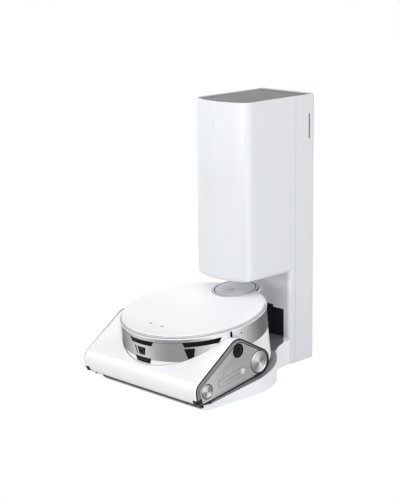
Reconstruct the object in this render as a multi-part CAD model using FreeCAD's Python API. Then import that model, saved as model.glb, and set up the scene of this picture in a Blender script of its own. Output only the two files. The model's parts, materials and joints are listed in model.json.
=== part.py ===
import FreeCAD, Part
import math
import os
from FreeCAD import Vector, Placement, Rotation

# Robot vacuum parked on its tall dust-emptying station. Millimetres and degrees.
#
# Station frame: +Z up, -Y is the open front, z = 0 is the floor, and the origin lies on the floor
# below the middle of the docked robot's round body.
# Robot frame: the same axes on the plane that the wheels run on, origin below the round body's
# middle. dock() tilts and lifts a robot-frame shape onto the station's ramp.

# ---------------------------------------------------------------- docking
dock_tilt = 7.8            # slope of the ramp, and so of the docked robot
dock_lift = 28.2           # height of the ramp's surface at the origin
wheel_gap = 0.3            # air between the wheels and the ramp

# ---------------------------------------------------------------- robot: round body
disc_radius = 143.5        # white lower wall of the round body
shell_wall = 2.5
belly_z = 9.5              # underside of the chassis
chassis_plate = 2.5
pan_back = 15.0            # rear end of the chassis's square front part
rear_band_z = 74.0         # lower edge of the silver band behind
bumper_z = 54.0            # lower edge of the bumper's white skirt
band_z = 70.0              # lower edge of the silver band on the bumper
rim_z = 115.3              # underside of the top rim
rim_step = 2.2             # height of each of the rim's two steps
cover_height = 2.5
rim_grow = 2.0             # the rim's lower step stands this far outside the round wall
cover_inset = 2.3
band_proud = 0.7
frame_inset = 6.7          # the inner frame ring stands this far inside the wall
bumper_air = 0.4
tongue_x = 0.7 * disc_radius
tongue_half = 5.0
tongue_z = 100.0
tongue_height = 3.0
tongue_air = 0.6

# ---------------------------------------------------------------- robot: laser turret
turret_inset = 22.8        # from the round wall forward to the turret's axis
turret_radius = 47.2
turret_bulge = 50.0        # round bulge of the body's wall behind the turret
bulge_blend = 14.0
turret_gap = 0.6
turret_floor_z = 90.0
turret_window_z = 104.0
turret_lip = 6.2
rotor_radius = 34.0
spindle_radius = 5.0

# ---------------------------------------------------------------- robot: plough-shaped front
# Side outline: a belt round these circles (y, z, radius, width of the metal side rim there).
plough_rear = (11.7, 38.4, 25.5, 2.6)
plough_apex = (-44.9, 74.2, 30.0, 7.0)
plough_nose = (2.5 - disc_radius, 37.5, 20.0, 7.0)
plough_toe = (-3.5 - disc_radius, 24.0, 14.0, 6.0)
plough_margin = 11.5       # the plough's walls stand this far outside the round body
plough_wall = 2.5
plough_gap = 1.0           # air between the plough and the silver band
rim_thickness = 3.0
panel_thickness = 1.6
panel_gap = 0.5
groove = 0.8

hub_cap_radius = 22.0
front_cap = (12.4 - disc_radius, 31.7, 13.4)
side_port = (-40.5, 80.5, 13.8)
capsule_front = (50.5 - disc_radius, 33.0)
capsule_rear = (-36.0, 36.5)
capsule_radius = 5.6

corner_inset = 3.0
corner_y = -10.1 - disc_radius
corner_radius = 8.0
corner_z = 14.9
corner_height = 8.6
corner_air = 1.0
corner_pin_radius = 2.0
fit = 0.05                 # radial clearance of everything that turns

# ---------------------------------------------------------------- robot: running gear
wheel_radius = 38.0
wheel_width = 18.0
wheel_x = disc_radius - 30.5
wheel_y = plough_rear[0]
tyre_depth = 7.0
axle_radius = 4.0
arm_x = wheel_x - 19.0
arm_thickness = 6.0
arm_pivot_y = -35.0
arm_pivot_z = 40.0
pivot_radius = 3.0
bracket_thickness = 5.0

caster_y = 77.5 - disc_radius
caster_radius = 11.0
caster_width = 12.0
caster_trail = 8.0
caster_pin_radius = 3.0
caster_axle_radius = 2.0
caster_well = 21.5

brush_y = 21.5 - disc_radius
brush_radius = 24.5
brush_core = 14.0
brush_half = 102.0
brush_gap = 0.5            # air between the brush and the ramp
brush_shaft = 3.0
brush_fins = 6
fin_thickness = 3.0
fin_twist = 50.0
tunnel_air = 2.0
tunnel_wall = 1.5
channel_half = 30.0        # flat dust channel from the brush to the bin
channel_rise = 10.0        # height of its floor over the brush's axis
channel_height = 16.0

# ---------------------------------------------------------------- robot: inner units
bin_half = 44.0
bin_front = 62.0
bin_neck = 41.0            # from the bin's rear wall to the port's face
bin_top = 68.0
bin_wall = 2.0
port_half = 18.0
port_low = 34.0
port_high = 56.0
port_frame = 3.0
port_reach = 52.3          # from the turret's axis back to the port frame's flat rear face
flap_thickness = 1.6
battery_half = 62.0
battery_top = 31.0
control_half = disc_radius - 67.5
control_z = 84.0
board_thickness = 1.6
fan_radius = 22.0
fan_x = bin_half + 26.0
fan_y = disc_radius - 73.5
fan_top = 60.0
plate_x = 9.0
plate_z = 24.0

# ---------------------------------------------------------------- station
base_corner = (disc_radius - 10.5, 28.5 - disc_radius, 16.0)
base_stern = (0.0, 3.0, disc_radius + 8.5)
base_sweep = 70.0          # hollow curve from the base's stern into the tower's flanks
foot_height = 1.0
foot_radius = 11.0
base_plate_thickness = 3.0
base_wall = 3.0
tread_width = 26.0
tread_front = -100.0
tread_back = 45.0
rib_x = 70.0               # stiffening ribs below the ramp
tread_depth = 1.5

tower_half = 72.0
tower_top = 550.7
tower_corner = 12.0
column_front = disc_radius + 44.5
tower_seam = column_front + 17.0
base_back = column_front + 77.5
tower_wall = 3.0
head_bottom = 195.0
head_front = 46.0
bow_radius = 130.0         # gentle bow of the head's front
head_corner = 22.0         # rounding of its two upright front edges
head_edge = 9.0            # rounding of the head's lower edge

column_corner = 9.0        # rounding of the column's two front edges
seam_groove = 0.8

niche_half = 55.0
niche_low = 50.0
niche_high = 115.0
niche_depth = 1.0
niche_corner = 3.0
panel_low = 57.0
dock_panel_thickness = 3.0

lid_inset = 3.4
lid_thickness = 6.0
lid_sink = 2.4             # the lid's face lies this far below the tower's rim
hinge_y = base_back - 15.5
hinge_pin_radius = 1.5
knuckle_radius = 3.0
knuckle_half = 50.0
hinge_air = 0.4
hinge_ear = 5.0

seal_gap = 0.4
seal_depth = 9.0
seal_rim = 4.0
duct_radius = 17.0
duct_wall = 2.0
duct_rise_y = base_back - 32.5
duct_drop = 150.7          # from the tower's top down to the duct's crown
contact_radius = 2.5

shelf_z = 296.0
shelf_thickness = 3.0
bag_margin = 18.0          # from the tower's flank in to the bag's
bag_corner = 18.0
blower_y = 120.0           # axis of the emptying motor
blower_height = 34.0
motor_radius = 34.0
motor_height = 57.0
filter_low = 60.0
filter_high = 144.0
filter_thickness = 8.0
grille_half = 38.0
grille_pitch = 8.0
grille_slot = 3.5
inlet_x = 37.0
inlet_z = 29.0
inlet_half = 13.0
inlet_rise = 9.0           # half height of the inlet
inlet_wall = 3.0
bag_drop = 45.7            # from the tower's top down to the bag's
board_stand = 9.0
board_drop = 40.7
board_height = 80.0
slit_drop = 34.7
slit_length = 25.0
slit_width = 4.0
side_slot_drop = 38.7
side_slot_length = 50.0
side_slot_y = base_back - 20.5
side_slot_width = 4.6

# ---------------------------------------------------------------- worked out
chassis_top = belly_z + chassis_plate
cover_z = rim_z + 2 * rim_step
robot_top = cover_z + cover_height
wheel_z = wheel_radius + wheel_gap
brush_z = brush_radius + brush_gap
bumper_back = -disc_radius * math.cos(math.radians(74.6))
bumper_travel = 2.5
bumper_split = 3.0
lid_z = tower_top - lid_sink - lid_thickness
past_top = tower_top + 50.0   # beyond everything above, behind and on each side
past_back = base_back + 50.0
far = 2 * disc_radius
hinge_z = lid_z + knuckle_radius
duct_z = 96.0
duct_top = tower_top - duct_drop
bag_top = tower_top - bag_drop
board_high = tower_top - board_drop
board_low = board_high - board_height
slit_high = tower_top - slit_drop
slit_low = slit_high - slit_length
side_slot_high = tower_top - side_slot_drop
side_slot_low = side_slot_high - side_slot_length
frame_radius = disc_radius - frame_inset
turret_y = disc_radius - turret_inset
port_face = turret_y + port_reach
bin_back = port_face - bin_neck
plough_half = disc_radius + plough_margin
corner_x = plough_half - corner_inset
MIRROR = Vector(1, 0, 0)
SIDES = {"left": -1, "right": 1}
parts = {}


# ---------------------------------------------------------------- shapes used throughout
def block(x0, x1, y0, y1, z0, z1):
    return Part.makeBox(x1 - x0, y1 - y0, z1 - z0, Vector(x0, y0, z0))


def post(radius, z0, z1, x=0.0, y=0.0):
    return Part.makeCylinder(radius, z1 - z0, Vector(x, y, z0))


def shaft(radius, x0, x1, y, z):
    return Part.makeCylinder(radius, x1 - x0, Vector(x0, y, z), Vector(1, 0, 0))


def rod(radius, y0, y1, x, z):
    return Part.makeCylinder(radius, y1 - y0, Vector(x, y0, z), Vector(0, 1, 0))


def mirrored(shape):
    return shape.mirror(Vector(0, 0, 0), MIRROR)


def on_side(shape, side):
    return shape if side > 0 else mirrored(shape)


def both_sides(shape):
    return Part.makeCompound([shape, mirrored(shape)])


def fuse(shapes):
    return shapes[0].multiFuse(list(shapes[1:])).removeSplitter()


def upright(u, v):
    """A point of a side outline, in the plane x = 0."""
    return Vector(0, u, v)


def level(u, v):
    """A point of a plan outline, in the plane z = 0."""
    return Vector(u, v, 0)


def belt(circles, place):
    """A face whose edge runs, like a belt, counter-clockwise round circles (u, v, radius)."""
    normals = []
    for (u0, v0, r0), (u1, v1, r1) in zip(circles, circles[1:] + circles[:1]):
        span = math.hypot(u1 - u0, v1 - v0)
        du, dv = (u1 - u0) / span, (v1 - v0) / span
        lean = (r0 - r1) / span
        rest = math.sqrt(1 - lean * lean)
        normals.append((dv * rest + du * lean, -du * rest + dv * lean))
    edges = []
    for i, (u, v, r) in enumerate(circles):
        into, out = normals[i - 1], normals[i]
        start = place(u + r * into[0], v + r * into[1])
        end = place(u + r * out[0], v + r * out[1])
        first, last = math.atan2(into[1], into[0]), math.atan2(out[1], out[0])
        middle = first + (last - first) % (2 * math.pi) / 2
        crown = place(u + r * math.cos(middle), v + r * math.sin(middle))
        edges.append(Part.Arc(start, crown, end).toShape())
        u1, v1, r1 = circles[(i + 1) % len(circles)]
        edges.append(Part.LineSegment(end, place(u1 + r1 * out[0], v1 + r1 * out[1])).toShape())
    return Part.Face(Part.Wire(edges))


def lift(face, z0, z1):
    """A plan face made solid from z0 up to z1."""
    return face.translated(Vector(0, 0, z0)).extrude(Vector(0, 0, z1 - z0))


def across(face, x0, x1):
    """A side face made solid from x0 to x1."""
    return face.translated(Vector(x0, 0, 0)).extrude(Vector(x1 - x0, 0, 0))


def dock(shape):
    """A robot-frame shape set down on the station's ramp."""
    placed = shape.copy()
    turn = Placement(Vector(0, 0, dock_lift), Rotation(Vector(1, 0, 0), dock_tilt))
    placed.Placement = turn.multiply(placed.Placement)
    return placed


def soft_edges(shape, radius, wanted):
    """Round the edges whose middle point satisfies wanted(x, y, z)."""
    chosen = []
    for edge in shape.Edges:
        middle = edge.valueAt((edge.FirstParameter + edge.LastParameter) / 2)
        if wanted(middle.x, middle.y, middle.z):
            chosen.append(edge)
    return shape.makeFillet(radius, chosen)


def at_height(z):
    return lambda x, y, height: abs(height - z) < 0.01


# ---------------------------------------------------------------- outlines that several pieces share
def round_plan(grow):
    """Plan of the round body and the bulge behind the turret, grown outwards by grow."""
    reach = disc_radius + bulge_blend
    bulge_reach = turret_bulge + bulge_blend
    blend_y = (reach ** 2 - bulge_reach ** 2 + turret_y ** 2) / (2 * turret_y)
    blend_x = math.sqrt(reach ** 2 - blend_y ** 2)
    main, bulge = disc_radius + grow, turret_bulge + grow
    on_main = Vector(blend_x, blend_y, 0) * (main / reach)
    centre = Vector(0, turret_y, 0)
    blend = Vector(blend_x, blend_y, 0)
    on_bulge = centre + (blend - centre) * (bulge / bulge_reach)
    inward = ((on_main - blend) + (on_bulge - blend)).normalize() * (bulge_blend - grow)
    waist = blend + inward

    def flip(point):
        return Vector(-point.x, point.y, 0)

    return Part.Face(Part.Wire([
        Part.Arc(flip(on_main), Vector(0, -main, 0), on_main).toShape(),
        Part.Arc(on_main, waist, on_bulge).toShape(),
        Part.Arc(on_bulge, centre + Vector(0, bulge, 0), flip(on_bulge)).toShape(),
        Part.Arc(flip(on_bulge), flip(waist), flip(on_main)).toShape(),
    ]))


def plough_face(inset=0.0, rim=0.0):
    """Side outline of the plough, inset all round, or by a share of the metal rim's own width."""
    circles = [plough_rear, plough_apex, plough_nose, plough_toe]
    return belt([(y, z, r - inset - rim * width) for y, z, r, width in circles], upright)


def base_body(inset, z0, z1):
    """Upright block on the base's plan: a belt round its corners and stern, swept into the tower."""
    corner_left = (-base_corner[0], base_corner[1], base_corner[2])
    outline = belt([(x, y, r - inset) for x, y, r in (base_corner, base_stern, corner_left)], level)
    half = tower_half - inset
    body = fuse([lift(outline, z0, z1), block(-half, half, 0, column_front, z0, z1)])
    stern_y, stern_radius = base_stern[1], base_stern[2] - inset
    meet_y = stern_y + math.sqrt(stern_radius ** 2 - half ** 2)
    return soft_edges(body, base_sweep + inset, lambda x, y, z: abs(abs(x) - half) < 0.01
                      and abs(y - meet_y) < 0.01)


def tower_face(inset, back=base_back):
    """Plan of the tower's head: bowed front, rounded upright edges and straight flanks."""
    half, rear = tower_half - inset, back - inset
    bow, turn = bow_radius - inset, head_corner - inset
    centre_x = tower_half - head_corner
    swing = math.asin(centre_x / (bow_radius - head_corner))       # here the bow runs into the corner
    shoulder = head_front + bow_radius - (bow_radius - head_corner) * math.cos(swing)

    def on_corner(side, angle):
        return Vector(side * (centre_x + turn * math.sin(angle)), shoulder - turn * math.cos(angle), 0)

    crown = Vector(0, head_front + bow_radius - bow, 0)
    edges = [Part.Arc(on_corner(-1, swing), crown, on_corner(1, swing)).toShape()]
    for side in (-1, 1):
        edges.append(Part.Arc(on_corner(side, swing), on_corner(side, (swing + math.pi / 2) / 2),
                              on_corner(side, math.pi / 2)).toShape())
    corner = tower_corner - inset if back == base_back else 0.0
    for side in (-1, 1):
        flank_end = Vector(side * half, rear - corner, 0)
        edges.append(Part.LineSegment(on_corner(side, math.pi / 2), flank_end).toShape())
        if corner:
            tip = corner * math.sqrt(0.5)
            middle = Vector(side * (half - corner + tip), rear - corner + tip, 0)
            edges.append(Part.Arc(flank_end, middle, Vector(side * (half - corner), rear, 0)).toShape())
    edges.append(Part.LineSegment(Vector(corner - half, rear, 0), Vector(half - corner, rear, 0)).toShape())
    return Part.Face(Part.Wire(Part.__sortEdges__(edges)))


def ramp_space(offset):
    """Everything above the ramp's surface, moved up by offset along the surface's normal."""
    big = 600.0
    return dock(block(-big, big, -big, big, offset, big))


# ---------------------------------------------------------------- robot: body
def chassis():
    """Floor pan with wells for the wheels, caster and brush, and the brackets that carry them."""
    top = chassis_top
    toe_y = plough_toe[0] - 5.0
    front = block(1 - plough_half, plough_half - 1, toe_y, pan_back, belly_z, top)
    pan = fuse([lift(round_plan(0), belly_z, top), front])
    well_half = wheel_width / 2 + 5
    well_y = math.sqrt(wheel_radius ** 2 - (wheel_z - top) ** 2) + 6
    wells = [block(side * wheel_x - well_half, side * wheel_x + well_half,
                   wheel_y - well_y, wheel_y + well_y, 0, top + 1) for side in (-1, 1)]
    brush_air = brush_radius + tunnel_air
    wells.append(block(-brush_half - 3, brush_half + 3, brush_y - brush_air + 0.5, brush_y + brush_air, 0,
                       top + 1))
    wells.append(post(caster_well, 0, top + 1, 0, caster_y))
    cup_roof = 2 * caster_radius + 5.5
    cup = post(caster_well + shell_wall, belly_z, cup_roof + shell_wall, 0, caster_y)
    cup = cup.cut(post(caster_well, 0, cup_roof, 0, caster_y))
    cup = cup.cut(post(caster_pin_radius + fit, 0, 60, 0, caster_y))
    bracket_x = arm_x - arm_thickness / 2 - hinge_air - bracket_thickness
    bracket = across(belt([(arm_pivot_y, arm_pivot_z, 7.0), (arm_pivot_y - 12, top + 1, 1.0),
                           (arm_pivot_y + 12, top + 1,
                            1.0)], upright), bracket_x, bracket_x + bracket_thickness)
    bracket = bracket.cut(shaft(pivot_radius + fit, 0, far, arm_pivot_y, arm_pivot_z))
    pan = pan.cut(fuse(wells))
    return fuse([pan, cup, bracket, mirrored(bracket)])


def rear_shell():
    """White lower wall of the round body behind the plough, with the opening for the dust port."""
    wall = lift(round_plan(0), chassis_top, rear_band_z).cut(lift(round_plan(-shell_wall), 0, far))
    wall = wall.cut(block(-far, far, -far, bumper_back + bumper_split, 0, far))
    reach = port_half + port_frame
    return wall.cut(block(-reach, reach, turret_y, far, plate_z - 8, port_high + port_frame))


def rear_band():
    """Silver band that closes the round body behind the bumper."""
    outer = band_proud
    wall = lift(round_plan(outer), rear_band_z, rim_z).cut(lift(round_plan(outer - shell_wall), 0, far))
    wall = wall.cut(block(-far, far, -far, bumper_back + bumper_split, 0, far))
    return wall.cut(shaft(1.2, 0, far, -14.7, 106.0))


def frame_ring():
    """Inner drum that stands on the chassis and carries the rim, the turret and the bumper's tongues."""
    ring = post(frame_radius, chassis_top, rim_z).cut(post(frame_radius - shell_wall, 0, far))
    turret = post(turret_radius, turret_floor_z, far, 0, turret_y)
    bin_way = block(-bin_half, bin_half, 0, far, chassis_top, bin_top + 2)
    brush_way = block(-plough_half, plough_half, -far, brush_y + brush_radius + 8, 0, bumper_z + 2)
    half, low = tongue_half + tongue_air, tongue_z - tongue_air
    slot = block(tongue_x - half, tongue_x + half, brush_y, -0.4 * disc_radius, low,
                 tongue_z + tongue_height + tongue_air)
    return ring.cut(fuse([turret, bin_way, brush_way, slot, mirrored(slot)]))


def top_rim():
    """Two-stepped ring below the top cover."""
    lower = lift(round_plan(rim_grow), rim_z, rim_z + rim_step)
    upper = lift(round_plan(0), rim_z + rim_step, cover_z)
    inside = post(frame_radius - shell_wall, 0, far)
    turret = post(turret_radius + turret_gap, 0, far, 0, turret_y)
    rim = fuse([lower, upper]).cut(inside).cut(turret)
    return soft_edges(rim, 0.7, lambda x, y, z: abs(z - rim_z - rim_step) < 0.01
                      and math.hypot(x, y) > disc_radius + rim_grow - 0.1)


def top_cover():
    """Flat white lid of the robot, cut away round the turret."""
    cover = post(disc_radius - cover_inset, cover_z, robot_top)
    cover = soft_edges(cover, 1.6, at_height(robot_top))
    return cover.cut(post(turret_radius + turret_gap, 0, far, 0, turret_y))


def turret_housing():
    """Cup below the laser turret, with the rotor's spindle standing on its floor."""
    cup = post(turret_radius, turret_floor_z, turret_window_z, 0, turret_y)
    cup = cup.cut(post(turret_radius - shell_wall, turret_floor_z + shell_wall, far, 0, turret_y))
    spindle = post(spindle_radius, turret_floor_z + shell_wall, turret_window_z, 0, turret_y)
    return fuse([cup, spindle])


def turret_window():
    """Dark ring the laser looks through, with the lip that frames the cap."""
    ring = post(turret_radius, turret_window_z, robot_top, 0, turret_y)
    ring = soft_edges(ring, 0.8, at_height(robot_top))
    ring = ring.cut(post(turret_radius - shell_wall, 0, robot_top - 2, 0, turret_y))
    return ring.cut(post(turret_radius - turret_lip, 0, far, 0, turret_y))


def turret_cap():
    """Spun metal cap, seated under the ring's lip and very slightly dished."""
    seat = post(turret_radius - shell_wall - 0.3, robot_top - 4, robot_top - 2, 0, turret_y)
    face = post(turret_radius - turret_lip - 0.3, robot_top - 2, robot_top + 0.5, 0, turret_y)
    return fuse([seat, face])


def turret_rotor():
    """Turning platform of the laser scanner with its optical block."""
    low = turret_floor_z + shell_wall + 0.6
    plate = post(rotor_radius, low, low + 3, 0, turret_y)
    optics = block(-20, 20, turret_y + 7, turret_y + 23, low + 3, low + 19)
    eyes = fuse([rod(5, turret_y + 22, turret_y + 27, side * 11, low + 11) for side in (-1, 1)])
    counterweight = block(-14, 14, turret_y - 24, turret_y - 10, low + 3, low + 8)
    return fuse([plate, optics, eyes, counterweight]).cut(post(spindle_radius + fit, 0, far, 0, turret_y))


# ---------------------------------------------------------------- robot: bumper
def window_face(corners, middle):
    """Cutter through the bumper's wall: corners (degrees from the front, height) seen from middle."""
    points = []
    for angle, z in corners:
        sideways = disc_radius * math.sin(math.radians(angle - middle))
        points.append(Vector(sideways, -disc_radius - 6, z))
    prism = Part.Face(Part.makePolygon(points + points[:1])).extrude(Vector(0, 30, 0))
    prism.rotate(Vector(0, 0, 0), Vector(0, 0, 1), middle)
    return prism


def front_windows():
    """Cutters for the centre slot, the camera pane and the lower slot, and for each flank's pair."""
    centre = [
        window_face([(-13.3, 108), (-10.8, 98.5), (10.8, 98.5), (13.3, 108)], 0),
        window_face([(-4.6, 93), (-3.2, 77), (3.2, 77), (4.6, 93)], 0),
    ]
    flank = [
        window_face([(36.4, 109), (37.8, 99), (64.6, 99), (67.4, 109)], 52),
        window_face([(37.5, 96), (39.8, 75), (44.0, 75), (46.0, 96)], 42),
    ]
    return centre + flank + [mirrored(shape) for shape in flank]


def lower_slot():
    return window_face([(-9.2, 72.5), (-7.2, 60.5), (7.2, 60.5), (9.2, 72.5)], 0)


def bumper_sector(inner, outer, z0, z1):
    ring = post(outer, z0, z1).cut(post(inner, 0, far))
    return ring.cut(block(-far, far, bumper_back, far, 0, far))


def bumper_carrier():
    """White carrier of the bumper: its skirt, and two tongues that slide in the inner frame."""
    skin = disc_radius + band_proud - shell_wall
    inner = frame_radius + bumper_travel + bumper_air
    back = bumper_sector(inner, skin, bumper_z, rim_z - bumper_air)
    skirt = bumper_sector(skin - 0.5, disc_radius, bumper_z, band_z)
    tongue = block(tongue_x - tongue_half, tongue_x + tongue_half, brush_y, -0.6 * disc_radius, tongue_z,
                   tongue_z + tongue_height).common(post(skin - 0.5, 0, far))
    return fuse([back, skirt, tongue, mirrored(tongue)]).cut(lower_slot())


def bumper_band():
    """Silver front band with the sensor cut-outs."""
    outer = disc_radius + band_proud
    band = bumper_sector(outer - shell_wall, outer, band_z, rim_z - bumper_air)
    return band.cut(fuse(front_windows() + [lower_slot()]))


def bumper_windows():
    """Dark panes that fill the band's cut-outs, a little below its surface."""
    outer = disc_radius + band_proud
    ring = bumper_sector(outer - shell_wall, outer - 0.6, band_z, rim_z)
    panes = [ring.common(cutter) for cutter in front_windows()]
    low = bumper_sector(disc_radius - shell_wall, disc_radius - 0.4, bumper_z, rim_z)
    return Part.makeCompound(panes + [low.common(lower_slot())])


# ---------------------------------------------------------------- robot: plough front
def corner_pocket(grow):
    return post(corner_radius + grow, corner_z - 0.4, corner_z + corner_height + 0.5, corner_x, corner_y)


def front_shell():
    """White plough-shaped front: sloping deck, rounded nose, side walls and roller pockets."""
    outer = across(plough_face(), -plough_half, plough_half)
    inner = across(plough_face(plough_wall), plough_wall - plough_half, plough_half - plough_wall)
    cups = both_sides(post(corner_radius + 4, chassis_top, corner_z + corner_height + 4, corner_x,
                           corner_y))
    shell = outer.cut(inner).cut(post(disc_radius + band_proud + plough_gap, 0, far))
    shell = shell.cut(block(-far, far, -far, far, 0, chassis_top))
    inside = plough_half - plough_wall
    shell = shell.cut(block(-inside, inside, plough_toe[0] - 5.5, pan_back, 0, chassis_top + 4))
    shell = fuse([shell, outer.common(cups)]).cut(block(-far, far, -far, far, 0, chassis_top))
    shell = shell.cut(both_sides(corner_pocket(corner_air)))
    pin = post(corner_pin_radius, chassis_top + 1, corner_z + corner_height + 3, corner_x, corner_y)
    return fuse([shell, pin, mirrored(pin)])


def side_rim():
    """Metal loop round the side panel, like a belt over the two hubs."""
    loop = across(plough_face(), plough_half, plough_half + rim_thickness)
    loop = soft_edges(loop, 1.2, lambda x, y, z: x > plough_half + rim_thickness - 0.01)
    loop = loop.cut(across(plough_face(0, 1), 0, far))
    return loop.cut(corner_pocket(corner_air))


def side_panel():
    """Inset silver plate with the port, the two hub seats, the capsule and the engraved lines."""
    skin = plough_half + panel_thickness
    plate = across(plough_face(panel_gap, 1), plough_half, skin)
    cuts = [shaft(hub_cap_radius + panel_gap, 0, far, plough_rear[0], plough_rear[1]),
            shaft(front_cap[2] + panel_gap, 0, far, front_cap[0], front_cap[1]),
            shaft(side_port[2] + 0.2, 0, far, side_port[0], side_port[1])]
    ends = [capsule_rear, capsule_front]
    ring = across(belt([(y, z, capsule_radius) for y, z in ends], upright), skin - 0.5, far)
    ring = ring.cut(across(belt([(y, z, capsule_radius - groove) for y, z in ends], upright), 0, far))
    cuts += [ring, corner_pocket(corner_air)]
    cuts.append(engraved_line((side_port[0] - side_port[2], side_port[1] - 6),
                              (front_cap[0] + 19.1, 39.0)))
    cuts.append(engraved_line((side_port[0] + side_port[2], side_port[1] - 5), (-8.0, 60.0)))
    cuts.append(engraved_line((capsule_rear[0] + capsule_radius, capsule_rear[1] + 1), (-10.0, 38.4)))
    return plate.cut(fuse(cuts))


def engraved_line(start, end):
    skin = plough_half + panel_thickness
    line = belt([(end[0], end[1], groove / 2), (start[0], start[1], groove / 2)], upright)
    return across(line, skin - 0.5, far)


def hub_cap(y, z, radius):
    """Spun cap with a rolled edge and a faint cone to its middle."""
    back, edge = plough_half, plough_half + 2.6
    profile = Part.makePolygon([
        Vector(back, 0, 0), Vector(back, radius, 0), Vector(edge - 0.8, radius, 0),
        Vector(edge, radius - 0.8, 0), Vector(edge, radius - 2.4, 0),
        Vector(edge - 0.7, radius - 3.2, 0), Vector(edge, 0, 0), Vector(back, 0, 0)])
    cap = Part.Face(profile).revolve(Vector(0, 0, 0), Vector(1, 0, 0), 360)
    return cap.translated(Vector(0, y, z))


def hub_caps():
    return Part.makeCompound([hub_cap(plough_rear[0], plough_rear[1], hub_cap_radius), hub_cap(*front_cap)])


def side_sensor():
    """Dark round port in the side panel: a stepped dish."""
    y, z, radius = side_port
    disc = shaft(radius, plough_half, plough_half + panel_thickness, y, z)
    return disc.cut(shaft(radius - 2.0, plough_half + 0.6, far, y, z))


def corner_roller():
    """Black edge roller on an upright pin."""
    roller = post(corner_radius, corner_z, corner_z + corner_height, corner_x, corner_y)
    roller = soft_edges(roller, 1.2, lambda x, y, z: True)
    return roller.cut(post(corner_pin_radius + fit, 0, far, corner_x, corner_y))


# ---------------------------------------------------------------- robot: running gear
def wheel_arm():
    """Trailing arm: pivot stub, plate and wheel axle."""
    inside, outside = arm_x - arm_thickness / 2, arm_x + arm_thickness / 2
    plate = across(belt([(wheel_y, wheel_z, 11.0), (arm_pivot_y, arm_pivot_z, 8.0)], upright), inside,
                   outside)
    pivot = shaft(pivot_radius, inside - hinge_air - bracket_thickness, inside + 1, arm_pivot_y,
                  arm_pivot_z)
    shoulder = shaft(8.0, outside - 1, wheel_x - wheel_width / 2 - 0.5, wheel_y, wheel_z)
    axle = shaft(axle_radius, outside, wheel_x + wheel_width / 2, wheel_y, wheel_z)
    return fuse([plate, pivot, shoulder, axle])


def wheel_hub():
    """Hub with a recessed outer face and five windows."""
    rim = wheel_radius - tyre_depth
    x0, x1 = wheel_x - wheel_width / 2, wheel_x + wheel_width / 2
    hub = shaft(rim, x0, x1, wheel_y, wheel_z)
    dish = shaft(rim - 4, x1 - 5, x1 + 1, wheel_y, wheel_z).cut(shaft(9.0, 0, far, wheel_y, wheel_z))
    hub = hub.cut(dish)
    for i in range(5):
        angle = 2 * math.pi * i / 5
        hub = hub.cut(shaft(4.5, 0, far, wheel_y + 18 * math.cos(angle), wheel_z + 18 * math.sin(angle)))
    return hub.cut(shaft(axle_radius + fit, 0, far, wheel_y, wheel_z))


def tyre():
    """Rubber tyre with cross grooves."""
    rim = wheel_radius - tyre_depth
    x0, x1 = wheel_x - wheel_width / 2, wheel_x + wheel_width / 2
    ring = shaft(wheel_radius, x0, x1, wheel_y, wheel_z).cut(shaft(rim, 0, far, wheel_y, wheel_z))
    grooves = []
    count = 24
    for i in range(count):
        notch = block(x0 - 1, x1 + 1, wheel_y - 1.2, wheel_y + 1.2, wheel_z + wheel_radius - 2,
                      wheel_z + 50)
        notch.rotate(Vector(0, wheel_y, wheel_z), Vector(1, 0, 0), 360.0 * (i + 0.5) / count)
        grooves.append(notch)
    return ring.cut(Part.makeCompound(grooves))


def caster_fork():
    """Swivelling fork with its pin and the wheel's axle."""
    top = 2 * caster_radius + wheel_gap + 1.2
    roof = 2 * caster_radius + 5.5
    plate = post(15.0, top, roof - 0.4, 0, caster_y)
    pin = post(caster_pin_radius, roof - 1, roof + 6, 0, caster_y)
    leg_in, leg_out = caster_width / 2 + 0.4, caster_width / 2 + 3.0
    axle_y, axle_z = caster_y - caster_trail, caster_radius + wheel_gap
    leg = across(belt([(axle_y, axle_z, 4.0), (caster_y + 4, top + 1, 2.0), (caster_y - 10, top + 1, 2.0)],
                      upright), leg_in, leg_out)
    leg = leg.common(block(-40, 40, -far, far, 0, roof - 0.5))
    axle = shaft(caster_axle_radius, -leg_out, leg_out, axle_y, axle_z)
    return fuse([plate, pin, leg, mirrored(leg), axle])


def caster_wheel():
    y, z = caster_y - caster_trail, caster_radius + wheel_gap
    wheel = shaft(caster_radius, -caster_width / 2, caster_width / 2, y, z)
    wheel = soft_edges(wheel, 2.0, lambda px, py, pz: True)
    return wheel.cut(shaft(caster_axle_radius + fit, -20, 20, y, z))


def brush_tunnel():
    """Half-round tunnel over the brush, and the flat channel from it back to the dust bin."""
    inner = brush_radius + tunnel_air
    end = brush_half + 3
    low, high = brush_z + channel_rise, brush_z + channel_rise + channel_height
    roof = shaft(inner + tunnel_wall, -end, end, brush_y, brush_z)
    roof = roof.cut(block(-far, far, -far, 0, -50, chassis_top))
    channel = block(-channel_half, channel_half, brush_y, bin_front, low, high)
    room = shaft(inner, tunnel_wall - end, end - tunnel_wall, brush_y, brush_z)
    way = block(bin_wall - channel_half, channel_half - bin_wall, brush_y, far, low + bin_wall,
                high - bin_wall)
    return fuse([roof, channel]).cut(fuse([room, way])).cut(shaft(brush_shaft + fit, -far, far, brush_y,
                                                                  brush_z))


def brush_core_piece():
    """Roller core with its two stub shafts."""
    core = shaft(brush_core, -brush_half + 2, brush_half - 2, brush_y, brush_z)
    stubs = shaft(brush_shaft, -brush_half - 3, brush_half + 3, brush_y, brush_z)
    return fuse([core, stubs])


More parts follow.
